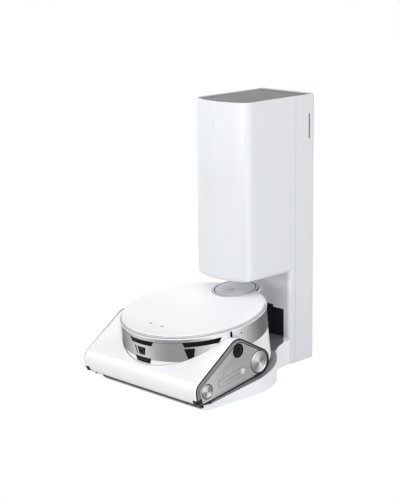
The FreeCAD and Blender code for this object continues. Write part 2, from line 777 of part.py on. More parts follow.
def brush_blades():
    """Twisted rubber blades round the core."""
    fins = []
    stations = 4
    length = 2 * brush_half - 6
    for i in range(brush_fins):
        sections = []
        for j in range(stations + 1):
            x = -length / 2 + length * j / stations
            turn = 360.0 * i / brush_fins + fin_twist * abs(2.0 * j / stations - 1)
            half = fin_thickness / 2
            low, high = brush_core - 0.2, brush_radius
            wire = Part.makePolygon([Vector(x, -half, low), Vector(x, half, low), Vector(x, half, high),
                                     Vector(x, -half, high), Vector(x, -half, low)])
            wire.rotate(Vector(0, 0, 0), Vector(1, 0, 0), turn)
            sections.append(wire.translated(Vector(0, brush_y, brush_z)))
        fins.append(Part.makeLoft(sections, True, True))
    blades = Part.makeCompound(fins)
    return blades.cut(shaft(brush_core, -far, far, brush_y, brush_z))


def nose_guides():
    """Small glides below the nose and bristle tufts at the ends of the brush opening."""
    glide = post(4.0, belly_z - 3.5, belly_z, brush_half + 15, plough_toe[0] - 1)
    tuft_x = plough_half - 5.0
    tufts = [post(1.6, 1.5, belly_z, tuft_x, y) for y in (brush_y - 20, brush_y + 1)]
    return Part.makeCompound([half for shape in [glide] + tufts for half in (shape, mirrored(shape))])


# ---------------------------------------------------------------- robot: inner units
def dust_bin():
    """Dust bin with a neck to the rear port."""
    low = chassis_top
    tub = block(-bin_half, bin_half, bin_front, bin_back, low, bin_top)
    tub = soft_edges(tub, 6.0, lambda x, y, z: abs(abs(x) - bin_half) < 0.01
                     and abs(z - bin_top / 2 - low / 2) < 0.01)
    neck_half = port_half + bin_wall
    neck = block(-neck_half, neck_half, bin_back - 1, port_face - 8, port_low - bin_wall,
                 port_high + bin_wall)
    room = block(bin_wall - bin_half, bin_half - bin_wall, bin_front + bin_wall, bin_back - bin_wall,
                 low + bin_wall, bin_top - bin_wall)
    way = block(-port_half, port_half, bin_back - 10, past_back, port_low, port_high)
    floor = brush_z + channel_rise + bin_wall
    mouth = block(bin_wall - channel_half, channel_half - bin_wall, 0, bin_front + 10,
                  floor, floor + channel_height - 2 * bin_wall)
    return fuse([tub, neck]).cut(fuse([room, way])).cut(mouth)


def rear_port():
    """Frame of the dust port in the bulge, with a flat face for the station's seal."""
    reach = port_half + port_frame
    back = port_face - 8
    plate = block(-reach, reach, back, port_face, plate_z - 8, port_high + port_frame)
    plate = plate.cut(block(-port_half, port_half, 0, past_back, port_low, port_high))
    plates = fuse([block(side * plate_x - 5, side * plate_x + 5, port_face - 1.2, past_back, plate_z - 4,
                         plate_z + 4)
                   for side in (-1, 1)])
    hinge = shaft(1.5 + fit, -port_half, port_half, port_face - 4, port_high)
    return plate.cut(plates).cut(hinge)


def charge_plates():
    return Part.makeCompound([block(side * plate_x - 5, side * plate_x + 5, port_face - 1.2, port_face,
                                    plate_z - 4, plate_z + 4) for side in (-1, 1)])


def port_flap():
    """Flap that hangs in the port from its own stub shaft."""
    y = port_face - 4
    leaf = block(0.4 - port_half, port_half - 0.4, y - flap_thickness / 2, y + flap_thickness / 2,
                 port_low + 0.5, port_high)
    barrel = shaft(1.5, 0.4 - port_half, port_half - 0.4, y, port_high)
    return fuse([leaf, barrel])


def battery():
    pack = block(-battery_half, battery_half, -36, 24, chassis_top, battery_top)
    return soft_edges(pack, 3.0, lambda x, y, z: abs(z - (chassis_top + battery_top) / 2) < 0.01)


def main_board():
    """Control board on four posts above the battery and the dust channel."""
    half, front, back = control_half, -60.0, 40.0
    posts = [post(3.0, chassis_top, control_z, x, y) for x in (6 - half, half - 6)
             for y in (front + 10, back - 10)]
    top = control_z + board_thickness
    board = block(-half, half, front, back, control_z, top)
    chips = [block(-20, 10, front + 30, front + 60, top, top + 2.4), block(30, 50, back - 50, back - 20, top,
                                                                          top + 4.4)]
    return fuse([board] + posts + chips)


def suction_fan():
    """Motor and fan of the robot, beside the dust bin."""
    body = post(fan_radius, chassis_top, fan_top, fan_x, fan_y)
    outlet = block(bin_half, fan_x, fan_y - 6, fan_y + 8, fan_top - 30, fan_top - 14)
    return fuse([body, outlet])


# ---------------------------------------------------------------- station: base
def base_plate():
    """Flat underside of the station, below the ramp and the tower."""
    low, high = foot_height, foot_height + base_plate_thickness
    ramp = base_body(base_wall, low, high)
    tower = block(tower_wall - tower_half, tower_half - tower_wall, column_front + tower_wall,
                  base_back - tower_wall, low, high)
    tower = soft_edges(tower, tower_corner - tower_wall, lambda x, y, z: y > base_back - tower_wall - 0.01
                       and abs(abs(x) - tower_half + tower_wall) < 0.01)
    return fuse([ramp, tower, plate_bridge(low, high)])


def plate_bridge(z0, z1):
    """The part of the base plate that passes below the column's front wall."""
    half, reach = tower_half - 27, 8.0
    return block(-half, half, column_front - reach, column_front + tower_wall + reach, z0, z1)


def base_feet():
    """Soft pads below the base plate: one in the middle, six along its edges."""
    front = (base_corner[0] - 13, base_corner[1] + 10)
    middle = (base_corner[0] - 8, base_stern[1] + 37)
    behind = (tower_half - 27, base_back - 30.5)
    pads = [post(foot_radius, 0, foot_height, *place) for place in (front, middle, behind)]
    return Part.makeCompound([post(foot_radius, 0, foot_height)] + [both_sides(pad) for pad in pads])


def base_shell():
    """Hollow ramp with its treads' recesses, open below and closed by the base plate."""
    top = 80.0
    low = foot_height + base_plate_thickness
    block_shape = base_body(0, foot_height, top).cut(ramp_space(0))
    hollow = base_body(base_wall, low, top).cut(ramp_space(-base_wall - tread_depth))
    hollow = hollow.cut(block(-far, far, column_front - base_wall, past_back, 0, far))
    seat = base_body(base_wall, 0, low)
    ribs = fuse([block(x - 1, x + 1, tread_front, column_front - 1, low, top) for x in (-rib_x, 0, rib_x)])
    shell = block_shape.cut(hollow.cut(ribs)).cut(seat).cut(plate_bridge(0, low))
    return shell.cut(dock(both_sides(tread_space(0))))


def tread_space(height):
    half = tread_width / 2
    pad = block(wheel_x - half, wheel_x + half, tread_front, tread_back, -tread_depth,
                height)
    return soft_edges(pad, 6.0, lambda x, y, z: abs(z - (height - tread_depth) / 2) < 0.01)


def ramp_treads():
    """Rubber pads under the drive wheels, with cross ridges."""
    pad = tread_space(0)
    pitch = 7.0
    groove_width = 2.5
    first = tread_front + pitch
    count = int((tread_back - first - groove_width) / pitch)
    grooves = [block(wheel_x - 9, wheel_x + 9, first + pitch * i, first + pitch * i + groove_width, -0.7, 1)
               for i in range(count)]
    return dock(both_sides(pad.cut(Part.makeCompound(grooves))))


# ---------------------------------------------------------------- station: tower
def front_housing():
    """Front shell of the tower: the bowed head above and the narrow column with its niche below."""
    low = foot_height
    head = lift(tower_face(0, tower_seam), head_bottom, tower_top)
    head = soft_edges(head, head_edge, lambda x, y, z: abs(z - head_bottom) < 0.01 and y < tower_seam - 0.5)
    column = block(-tower_half, tower_half, column_front, tower_seam, low, head_bottom + 20)
    column = soft_edges(column, column_corner, lambda x, y, z: y < column_front + 0.01
                        and abs(abs(x) - tower_half) < 0.01)
    room = lift(tower_face(tower_wall, tower_seam + tower_wall + 1), head_bottom + tower_wall,
                tower_top + 1)
    shaft_room = block(tower_wall - tower_half, tower_half - tower_wall, column_front + tower_wall,
                       tower_seam + 1,
                       0, head_bottom + tower_wall + 1)
    shell = fuse([head, column]).cut(fuse([room, shaft_room]))
    panel_back = column_front + niche_depth + dock_panel_thickness
    niche = niche_space(niche_low, column_front + niche_depth)
    behind = block(-niche_half, niche_half, column_front, panel_back, panel_low, niche_high)
    half, rise = port_half + 8.0, 24.0
    way = block(-half, half, column_front, past_back, duct_z - rise, duct_z + rise)
    slit = block(-slit_width / 2, slit_width / 2, 0, head_front + 10, slit_low, slit_high)
    bridge = plate_bridge(0, foot_height + base_plate_thickness)
    groove_inside = tower_half - seam_groove
    shadow_gap = block(-far, far, tower_seam - seam_groove, tower_seam, 0, tower_top)
    shadow_gap = shadow_gap.cut(block(-groove_inside, groove_inside, 0, past_back, 0, tower_top))
    return shell.cut(fuse([niche, behind, way, slit, bridge])).cut(shadow_gap)


def niche_space(low, back):
    """Recess in the column's face with rounded lower corners."""
    space = block(-niche_half, niche_half, column_front - 1, back, low, niche_high)
    return soft_edges(space, niche_corner, lambda x, y, z: abs(z - low) < 0.01
                      and abs(abs(x) - niche_half) < 0.01)


def rear_housing():
    """Rear shell of the tower: back wall, flanks, exhaust grille, inlet opening and board posts."""
    low = foot_height
    full = lift(tower_face(0), low, tower_top).cut(block(-far, far, -far, tower_seam, 0, past_top))
    room = lift(tower_face(tower_wall), low - 1, tower_top + 1)
    shell = full.cut(room)
    slots = [block(side_slot_x(side, 0), side_slot_x(side, 1), side_slot_y - side_slot_width / 2,
                   side_slot_y + side_slot_width / 2, side_slot_low, side_slot_high) for side in (-1, 1)]
    inner = base_back - tower_wall
    count = int((filter_high - filter_low - grille_slot) / grille_pitch) - 1
    lowest = filter_low + 6.0
    grille = [block(-grille_half, grille_half, inner - 1, past_back, lowest + grille_pitch * i,
                    lowest + grille_pitch * i + grille_slot) for i in range(count)]
    inlet = block(inlet_x - inlet_half, inlet_x + inlet_half, inner - 1, past_back, inlet_z - inlet_rise,
                  inlet_z + inlet_rise)
    shell = shell.cut(Part.makeCompound(slots + grille + [inlet]))
    posts = [rod(3.0, inner - board_stand, inner + 0.5, x, z) for x in (27 - tower_half, tower_half - 27)
             for z in (board_low + 10, board_high - 10)]
    return fuse([shell] + posts)


def side_slot_x(side, end):
    """The side slots are blind: they stop half way through the wall."""
    outer, inner = tower_half + 1, tower_half - tower_wall / 2
    return (outer if (side > 0) == (end == 1) else inner) * side


def hinge_cover():
    """Fixed strip behind the lid, with the two ears that hold the hinge pin."""
    front = hinge_y + knuckle_radius + hinge_air
    strip = lift(tower_face(lid_inset - 0.4), lid_z, tower_top - lid_sink)
    strip = strip.cut(block(-far, far, 0, front, 0, past_top))
    strip = strip.common(lift(tower_face(tower_wall), 0, past_top))
    ears = []
    for side in (-1, 1):
        x0, x1 = sorted((side * (knuckle_half + hinge_air), side * (knuckle_half + hinge_air + hinge_ear)))
        eye = shaft(knuckle_radius, x0, x1, hinge_y, hinge_z)
        ears.append(fuse([eye, block(x0, x1, hinge_y, front + 1, lid_z, hinge_z)]))
    return fuse([strip] + ears).cut(shaft(hinge_pin_radius, -far, far, hinge_y, hinge_z))


def hinge_pin():
    half = knuckle_half + hinge_air + hinge_ear
    return shaft(hinge_pin_radius, -half, half, hinge_y, hinge_z)


def lid():
    """Metal-faced lid over the bag chamber, with a rolled rear edge round the pin."""
    plate = lift(tower_face(lid_inset), lid_z, lid_z + lid_thickness)
    plate = plate.cut(block(-far, far, hinge_y, past_back, 0, past_top))
    ear_half = knuckle_half + hinge_air
    for side in (-1, 1):
        x0, x1 = sorted((side * (ear_half - hinge_air), side * far))
        plate = plate.cut(block(x0, x1, hinge_y - knuckle_radius - hinge_air, past_back, 0, past_top))
    knuckle = shaft(knuckle_radius, -knuckle_half, knuckle_half, hinge_y, hinge_z)
    return fuse([plate, knuckle]).cut(shaft(hinge_pin_radius + fit, -far, far, hinge_y, hinge_z))


def docking_panel():
    """Dark panel in the niche with the boss that carries the port seal and the contacts."""
    front = column_front + niche_depth
    plate = block(-niche_half, niche_half, front, front + dock_panel_thickness, panel_low, niche_high)
    reach = port_half + seal_rim
    boss = dock(block(-reach, reach, port_face + seal_gap + seal_depth, past_back, plate_z - 9,
                      port_high + seal_rim))
    boss = boss.common(block(-far, far, 0, front + 1, 0, past_back))
    way = dock(block(-port_half, port_half, 0, past_back, port_low, port_high))
    pins = dock(fuse([rod(contact_radius + fit, 0, past_back, side * plate_x, plate_z) for side in (-1, 1)]))
    return fuse([plate, boss]).cut(way).cut(pins)


def port_seal():
    """Soft collar between the station's boss and the robot's port."""
    reach = port_half + seal_rim
    y0 = port_face + seal_gap
    collar = block(-reach, reach, y0, y0 + seal_depth, port_low - seal_rim, port_high + seal_rim)
    collar = soft_edges(collar, 3.5, lambda x, y, z: abs(abs(x) - reach) < 0.01
                        and abs(y - y0 - seal_depth / 2) < 0.01)
    bore = block(-port_half, port_half, 0, past_back, port_low, port_high)
    return dock(collar.cut(bore))


def contact_pin():
    """Sprung charging pin, pressed in by the robot's plate."""
    y0 = port_face + seal_gap
    pin = rod(contact_radius, y0, y0 + seal_depth + 6, plate_x, plate_z)
    return dock(soft_edges(pin, 1.0, lambda x, y, z: y < y0 + 0.01))


def suction_duct():
    """Dust duct: straight in from the port, up the tower and forward to the bag."""
    start = column_front + niche_depth + dock_panel_thickness
    bend = 22.0

    def pipe(radius, extra):
        first = rod(radius, start - extra, duct_rise_y - bend, 0, duct_z)
        low_bend = Part.makeTorus(bend, radius, Vector(0, duct_rise_y - bend, duct_z + bend),
                                  Vector(1, 0, 0))
        low_bend = low_bend.common(block(-far, far, duct_rise_y - bend, past_back, 0, duct_z + bend))
        rise = post(radius, duct_z + bend, duct_top - bend, 0, duct_rise_y)
        high_bend = Part.makeTorus(bend, radius, Vector(0, duct_rise_y - bend, duct_top - bend),
                                   Vector(1, 0, 0))
        high_bend = high_bend.common(block(-far, far, duct_rise_y - bend, past_back, duct_top - bend,
                                           past_top))
        return [first, low_bend, rise, high_bend]

    return fuse(pipe(duct_radius + duct_wall, 0)).cut(fuse(pipe(duct_radius, 1)))


def bag_holder():
    """Upright plate that the bag's collar clips onto, standing on the shelf."""
    half, thickness = tower_half - 26.0, 6.0
    plate = block(-half, half, tower_seam, tower_seam + thickness, shelf_z + shelf_thickness, duct_top + 45)
    return plate.cut(rod(duct_radius, 0, past_back, 0, duct_top))


def dust_bag():
    """Filled dust bag, a soft block behind the bowed front."""
    half, low = tower_half - bag_margin, shelf_z + shelf_thickness
    bag = block(-half, half, head_front + 25, tower_seam, low, bag_top)
    return soft_edges(bag, bag_corner, lambda x, y, z: abs(abs(x) - half) < 0.01 and z > low + 1)


def bag_shelf():
    """Floor of the bag chamber, with openings for the duct and the motor's intake."""
    shelf = lift(tower_face(tower_wall), shelf_z, shelf_z + shelf_thickness)
    ring = 18.0
    intake = [post(4.0, 0, past_top, ring * math.cos(math.pi * i / 3),
                   blower_y + ring * math.sin(math.pi * i / 3)) for i in range(6)]
    return shelf.cut(fuse([post(duct_radius + duct_wall + 0.5, 0, past_top, 0, duct_rise_y)] + intake))


def station_fan():
    """Emptying motor, hung below the shelf."""
    blower = post(tower_half - 26, shelf_z - blower_height, shelf_z, 0, blower_y)
    low = shelf_z - blower_height - motor_height + 1
    motor = post(motor_radius, low, low + motor_height, 0, blower_y)
    return fuse([blower, motor])


def exhaust_filter():
    inner = base_back - tower_wall
    half = tower_half - 28
    return block(-half, half, inner - filter_thickness, inner, filter_low, filter_high)


def station_board():
    inner = base_back - tower_wall - board_stand
    half = tower_half - 20
    board = block(-half, half, inner - board_thickness, inner, board_low, board_high)
    transformer = block(-40, -14, inner - 14, inner - 1, board_low + 8, board_low + 36)
    heat_sink = block(4, 34, inner - 9, inner - 1, board_high - 34, board_high - 8)
    return fuse([board, transformer, heat_sink])


def power_inlet():
    """Two-pin appliance inlet set in the back wall."""
    body = block(inlet_x - inlet_half, inlet_x + inlet_half, base_back - 16, base_back - 0.5,
                 inlet_z - inlet_rise, inlet_z + inlet_rise)
    half, rise = inlet_half - inlet_wall, inlet_rise - inlet_wall
    body = body.cut(block(inlet_x - half, inlet_x + half, base_back - 12, past_back, inlet_z - rise,
                          inlet_z + rise))
    pins = [rod(1.2, base_back - 14, base_back - 3, inlet_x + side * 4.3, inlet_z) for side in (-1, 1)]
    return fuse([body] + pins)


def status_light():
    """Light pipe in the head's front slit."""
    bow = lift(tower_face(0.4, tower_seam), 0, past_top)
    bow = bow.cut(lift(tower_face(tower_wall, tower_seam + 9), 0, past_top))
    return bow.common(block(-slit_width / 2, slit_width / 2, 0, head_front + 10, slit_low, slit_high))


# ---------------------------------------------------------------- assembly
robot_parts = {
    "chassis": chassis(),
    "rear_shell": rear_shell(),
    "rear_band": rear_band(),
    "frame_ring": frame_ring(),
    "top_rim": top_rim(),
    "top_cover": top_cover(),
    "turret_housing": turret_housing(),
    "turret_window": turret_window(),
    "turret_cap": turret_cap(),
    "turret_rotor": turret_rotor(),
    "bumper_carrier": bumper_carrier(),
    "bumper_band": bumper_band(),
    "bumper_windows": bumper_windows(),
    "front_shell": front_shell(),
    "side_rims": both_sides(side_rim()),
    "side_panels": both_sides(side_panel()),
    "hub_caps": both_sides(hub_caps()),
    "side_sensors": both_sides(side_sensor()),
    "caster_fork": caster_fork(),
    "caster_wheel": caster_wheel(),
    "brush_tunnel": brush_tunnel(),
    "brush_core": brush_core_piece(),
    "brush_blades": brush_blades(),
    "nose_guides": nose_guides(),
    "dust_bin": dust_bin(),
    "rear_port": rear_port(),
    "charge_plates": charge_plates(),
    "port_flap": port_flap(),
    "battery": battery(),
    "main_board": main_board(),
    "suction_fan": suction_fan(),
}
paired_parts = {
    "corner_roller": corner_roller(),
    "wheel_arm": wheel_arm(),
    "drive_wheel": wheel_hub(),
    "tyre": tyre(),
}
for name, shape in paired_parts.items():
    for word, side in SIDES.items():
        robot_parts[name + "_" + word] = on_side(shape, side)
for name, shape in robot_parts.items():
    parts[name] = dock(shape)

parts["base_plate"] = base_plate()
parts["base_feet"] = base_feet()
parts["base_shell"] = base_shell()
parts["ramp_treads"] = ramp_treads()
parts["front_housing"] = front_housing()
parts["rear_housing"] = rear_housing()
parts["hinge_cover"] = hinge_cover()
parts["hinge_pin"] = hinge_pin()
parts["lid"] = lid()
parts["docking_panel"] = docking_panel()
parts["port_seal"] = port_seal()
parts["suction_duct"] = suction_duct()
parts["dust_bag"] = dust_bag()
parts["bag_shelf"] = fuse([bag_shelf(), bag_holder()])
parts["station_fan"] = station_fan()
parts["exhaust_filter"] = exhaust_filter()
parts["station_board"] = station_board()
parts["power_inlet"] = power_inlet()
parts["status_light"] = status_light()
for word, side in SIDES.items():
    parts["contact_pin_" + word] = on_side(contact_pin(), side)

os.makedirs("parts", exist_ok=True)
for name, shape in parts.items():
    shape.exportStep("parts/" + name + ".step")
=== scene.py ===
import json
import math
import random
import bmesh
import bpy
from mathutils import Matrix, Vector


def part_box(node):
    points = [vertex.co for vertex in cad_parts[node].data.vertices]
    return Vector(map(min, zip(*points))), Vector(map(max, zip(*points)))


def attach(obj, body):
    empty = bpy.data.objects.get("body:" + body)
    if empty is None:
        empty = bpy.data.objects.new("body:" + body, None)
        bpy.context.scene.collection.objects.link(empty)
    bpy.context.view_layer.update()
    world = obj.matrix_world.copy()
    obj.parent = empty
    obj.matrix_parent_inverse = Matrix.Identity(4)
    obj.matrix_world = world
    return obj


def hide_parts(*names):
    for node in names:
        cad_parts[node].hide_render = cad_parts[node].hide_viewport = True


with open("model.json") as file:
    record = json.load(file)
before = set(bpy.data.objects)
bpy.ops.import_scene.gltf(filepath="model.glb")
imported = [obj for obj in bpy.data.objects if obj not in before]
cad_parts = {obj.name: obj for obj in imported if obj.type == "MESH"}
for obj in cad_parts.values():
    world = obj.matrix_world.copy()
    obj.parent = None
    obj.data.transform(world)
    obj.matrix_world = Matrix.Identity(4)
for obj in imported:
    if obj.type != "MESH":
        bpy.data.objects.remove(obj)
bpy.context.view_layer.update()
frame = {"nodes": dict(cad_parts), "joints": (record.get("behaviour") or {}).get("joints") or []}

NODES = frame["nodes"]
MM = 0.001

# ---------------------------------------------------------------- places taken from the frame
# The robot has axes of its own: X to its side, Y back and Z up from the plane that its wheels run on,
# with the origin below the middle of its round body. The turret's joint shows where they lie.
TURRET_JOINT = next(joint for joint in frame["joints"] if joint["name"] == "turret_spin")
UP = Vector(TURRET_JOINT["axis"]).normalized()
TILT = math.atan2(-UP.y, UP.z)
TURN = Matrix.Rotation(TILT, 4, "X")
TURRET = (0.0, 120.7, 95.0)          # the turret joint's place in the robot's own axes
ROBOT = Matrix.Translation(Vector(TURRET_JOINT["pos_m"]) - TURN @ (Vector(TURRET) * MM)) @ TURN
LIFT = ROBOT.translation.z           # how high the robot's origin stands on the ramp

# ---------------------------------------------------------------- sizes of the robot, in millimetres
ROBOT_TOP = 122.2
BAND = 144.2                         # radius of the silver band round the body
BUMPER_END = 74.6                    # degrees from the front to where the bumper ends on each side
PANEL_FACE = 156.6                   # how far out the face of each side panel is
# Circles on the plough's sides are (y, z, radius). A belt round four of them outlines each side: EDGE is the
# outermost line, and OUTER and INNER are the two edges of the metal rim.
EDGE = [(11.7, 38.4, 26.0), (-44.9, 74.2, 30.8), (-141.0, 37.5, 20.0), (-147.0, 24.0, 14.0)]
OUTER = [(11.7, 38.4, 25.5), (-44.9, 74.2, 30.0), (-141.0, 37.5, 20.0), (-147.0, 24.0, 14.0)]
INNER = [(12.5, 37.2, 22.3), (-39.4, 76.3, 20.0), (-141.0, 37.5, 10.0), (-142.0, 20.7, 9.0)]
REAR_CAP = (11.7, 38.4, 22.0)
FRONT_CAP = (-131.1, 31.7, 13.4)
PORT = (-40.5, 80.5, 13.8)
CAPSULE = [(-93.8, 32.6, 7.8), (-34.6, 36.6, 7.8)]     # the two round ends of the long plate on the panel

SQUARE = ((1, 1), (-1, 1), (-1, -1), (1, -1))          # signs of a square's corners, going round


def on_robot(x, y, z):
    """A place given in the robot's own axes, in millimetres."""
    return ROBOT @ (Vector((x, y, z)) * MM)


def robot_way(x, y, z):
    return (TURN @ Vector((x, y, z))).normalized()


def on_wall(degrees, z, radius):
    """A place on a round wall of the robot, this far round from its front."""
    turn = math.radians(degrees)
    return on_robot(radius * math.sin(turn), -radius * math.cos(turn), z)


def wall_way(degrees):
    """The way out of a round wall of the robot, this far round from its front."""
    turn = math.radians(degrees)
    return robot_way(math.sin(turn), -math.cos(turn), 0)


def on_side(side, y, z, height):
    """A place on the plough's left (-1) or right (1) side, this high above the panel's face."""
    return on_robot(side * (PANEL_FACE + height), y, z)


def belt_points(circles, steps):
    """Points (y, z) counter-clockwise along a belt round circles (y, z, radius), with steps on each arc."""
    ways = []
    for (u0, v0, r0), (u1, v1, r1) in zip(circles, circles[1:] + circles[:1]):
        span = math.hypot(u1 - u0, v1 - v0)
        ways.append(math.atan2(v1 - v0, u1 - u0) - math.acos((r0 - r1) / span))
    points = []
    for index, (u, v, r) in enumerate(circles):
        first = ways[index - 1]
        arc = (ways[index] - first) % math.tau
        for i in range(steps + 1):
            turn = first + arc * i / steps
            points.append((u + r * math.cos(turn), v + r * math.sin(turn)))
    return points


def belt_ring(side, belt, inset, height, steps=12):
    """A belt's points on one side of the plough, drawn in by inset and raised above the panel's face."""
    circles = [(y, z, radius - inset) for y, z, radius in belt]
    return [on_side(side, y, z, height) for y, z in belt_points(circles, steps)]


# ---------------------------------------------------------------- shader maths
# A Mix node's sockets for its factor, its two inputs and its result, by the kind of data that it mixes
MIX_SOCKETS = {"RGBA": (0, 6, 7, 2), "FLOAT": (0, 2, 3, 0)}


class Value:
    """A socket in a node tree. Arithmetic on it adds the Math nodes it needs."""

    def __init__(self, tree, socket):
        self.tree = tree
        self.socket = socket

    def math(self, operation, *others):
        return self.tree.add("ShaderNodeMath", {"operation": operation}, [self, *others]).out("Value")

    def __add__(self, other):
        return self.math("ADD", other)

    __radd__ = __add__

    def __mul__(self, other):
        return self.math("MULTIPLY", other)

    __rmul__ = __mul__

    def __sub__(self, other):
        return self.math("SUBTRACT", other)

    def __rsub__(self, other):
        return self.tree.add("ShaderNodeMath", {"operation": "SUBTRACT"}, [other, self]).out("Value")

    def __neg__(self):
        return 0.0 - self

    def size(self):
        return self.math("ABSOLUTE")

    def above(self, edge, soft):
        """0 below edge, 1 above it, over a soft step."""
        ramp = {"interpolation_type": "SMOOTHSTEP"}
        inputs = {"Value": self, "From Min": edge - soft / 2, "From Max": edge + soft / 2}
        return self.tree.add("ShaderNodeMapRange", ramp, inputs).out("Result")

    def near(self, middle, half, soft):
        """1 within half of middle, 0 beyond, over a soft step."""
        return 1 - (self - middle).size().above(half, soft)

    def clamped(self):
        return self.tree.add("ShaderNodeClamp", {}, {"Value": self}).out("Result")


class Added:
    """A node that add() made, read by the names or numbers of its outputs."""

    def __init__(self, tree, node):
        self.tree = tree
        self.node = node

    def out(self, name):
        return Value(self.tree, self.node.outputs[name])


class Tree:
    """The node tree of a material or of the world."""

    def __init__(self, node_tree):
        self.nodes = node_tree.nodes
        self.links = node_tree.links

    def add(self, kind, settings=None, inputs=None):
        """A node of this type, with its settings, and the values or links of its inputs."""
        node = self.nodes.new(kind)
        for key, value in (settings or {}).items():
            if key == "stops":
                marks = node.color_ramp.elements
                marks.remove(marks[1])
                marks[0].position, marks[0].color = value[0][0], (*value[0][1], 1)
                for position, colour in value[1:]:
                    marks.new(position).color = (*colour, 1)
            else:
                setattr(node, key, value)
        pairs = inputs.items() if isinstance(inputs, dict) else enumerate(inputs or [])
        for key, value in pairs:
            self.feed(node.inputs[key], value)
        return Added(self, node)

    def feed(self, socket, value):
        """Link a Value to a socket, or set the socket to a number, a colour or a vector."""
        if isinstance(value, Value):
            self.links.new(value.socket, socket)
        elif isinstance(value, tuple) and len(value) == 3 and socket.type == "RGBA":
            socket.default_value = (*value, 1)
        else:
            socket.default_value = value

    def shader(self, name):
        """The shader that the node of this name gives out."""
        return Value(self, self.nodes[name].outputs[0])

    def show_white(self, lit, white, output):
        """Camera, mirrors and glass see the white shader; light that falls on things meets the lit one."""
        path = self.add("ShaderNodeLightPath")
        seen = path.out("Is Camera Ray").math("MAXIMUM", path.out("Is Glossy Ray"))
        seen = seen.math("MAXIMUM", path.out("Is Transmission Ray"))
        mixed = self.add("ShaderNodeMixShader", {}, [seen, lit, white])
        self.feed(self.nodes[output].inputs["Surface"], mixed.out("Shader"))


class Finish(Tree):
    """A material, with its object coordinates at hand.

    Each further argument sets a socket of the main shader, such as coat_weight=0.2 its Coat Weight.
    """

    def __init__(self, name, **uniform):
        self.material = bpy.data.materials.new(name)
        self.material.use_nodes = True
        super().__init__(self.material.node_tree)
        for key, value in uniform.items():
            self.set(key.replace("_", " ").title().replace("Ior", "IOR"), value)
        self.place = self.add("ShaderNodeTexCoord").out("Object")

    def set(self, name, value):
        self.feed(self.nodes["Principled BSDF"].inputs[name], value)

    def split(self, vector):
        parts = self.add("ShaderNodeSeparateXYZ", {}, [vector])
        return parts.out("X"), parts.out("Y"), parts.out("Z")

    def axes(self):
        """The place in millimetres in the station's axes."""
        return [value * (1 / MM) for value in self.split(self.place)]

    def robot_axes(self):
        """The place in millimetres in the robot's own axes."""
        x, y, z = self.axes()
        lean, stand = math.sin(TILT), math.cos(TILT)
        z = z - LIFT / MM
        return x, y * stand + z * lean, z * stand - y * lean

    def facing(self, axis):
        """How far the surface faces along one of the station's axes, from -1 to 1."""
        return self.split(self.add("ShaderNodeNewGeometry").out("Normal"))["XYZ".index(axis)]

    def noise(self, scale, detail, stretch=None, rough=0.5):
        """Noise from 0 to 1. It is drawn out along each axis whose stretch is small."""
        place = self.place
        if stretch:
            scaled = self.add("ShaderNodeVectorMath", {"operation": "MULTIPLY"}, [place, stretch])
            place = scaled.out("Vector")
        inputs = {"Vector": place, "Scale": scale, "Detail": detail, "Roughness": rough}
        return self.add("ShaderNodeTexNoise", {}, inputs).out("Fac")

    def cells(self, scale, settings, **inputs):
        """The distance from the middles of a cell pattern."""
        inputs = {"Vector": self.place, "Scale": scale, **inputs}
        return self.add("ShaderNodeTexVoronoi", {"feature": "F1", **settings}, inputs).out("Distance")

    def blend(self, mask, first, second):
        """first where the mask is 0 and second where it is 1; colours or numbers."""
        coloured = isinstance(first, tuple) or (isinstance(first, Value) and first.socket.type == "RGBA")
        kind = "RGBA" if coloured else "FLOAT"
        factor, start, end, result = MIX_SOCKETS[kind]
        inputs = {factor: mask, start: first, end: second}
        return self.add("ShaderNodeMix", {"data_type": kind}, inputs).out(result)

    def ramp(self, value, stops):
        """A grey that runs through stops (value, level), from the first one's value to the last one's."""
        low, high = stops[0][0], stops[-1][0]
        inputs = {"Value": value, "From Min": low, "From Max": high}
        share = self.add("ShaderNodeMapRange", {}, inputs).out("Result")
        marks = [((at - low) / (high - low), grey(level)) for at, level in stops]
        return self.add("ShaderNodeValToRGB", {"stops": marks}, [share]).out("Color")

    def bump(self, height, distance, strength):
        inputs = {"Strength": strength, "Distance": distance, "Height": height}
        self.set("Normal", self.add("ShaderNodeBump", {}, inputs).out("Normal"))


def shade(colour, factor):
    return tuple(min(1.0, channel * factor) for channel in colour)


def grey(level):
    """A neutral colour of this display level from 0 to 255, a trace cool."""
    value = ((level / 255 + 0.055) / 1.055) ** 2.4
    return (value * 0.99, value, min(1.0, value * 1.015))


def degrees_round(across, up):
    """The angle of the direction (across, up), from -180 to 180 degrees."""
    return up.math("ARCTAN2", across) * (180 / math.pi)


# ---------------------------------------------------------------- finishes of plastic and rubber
def moulded(name, colour, rough, grain=0.00002):
    """Moulded plastic: faint flow variation, handling haze and a fine spark-eroded grain."""
    finish = Finish(name, roughness=rough)
    flow = finish.noise(9.0, 3.0)
    haze = finish.noise(60.0, 4.0)
    finish.set("Base Color", finish.blend(flow, shade(colour, 0.98), shade(colour, 1.01)))
    finish.set("Roughness", rough - 0.05 + haze * 0.1)
    finish.bump(finish.noise(2600.0, 2.0), grain, 0.35)
    return finish


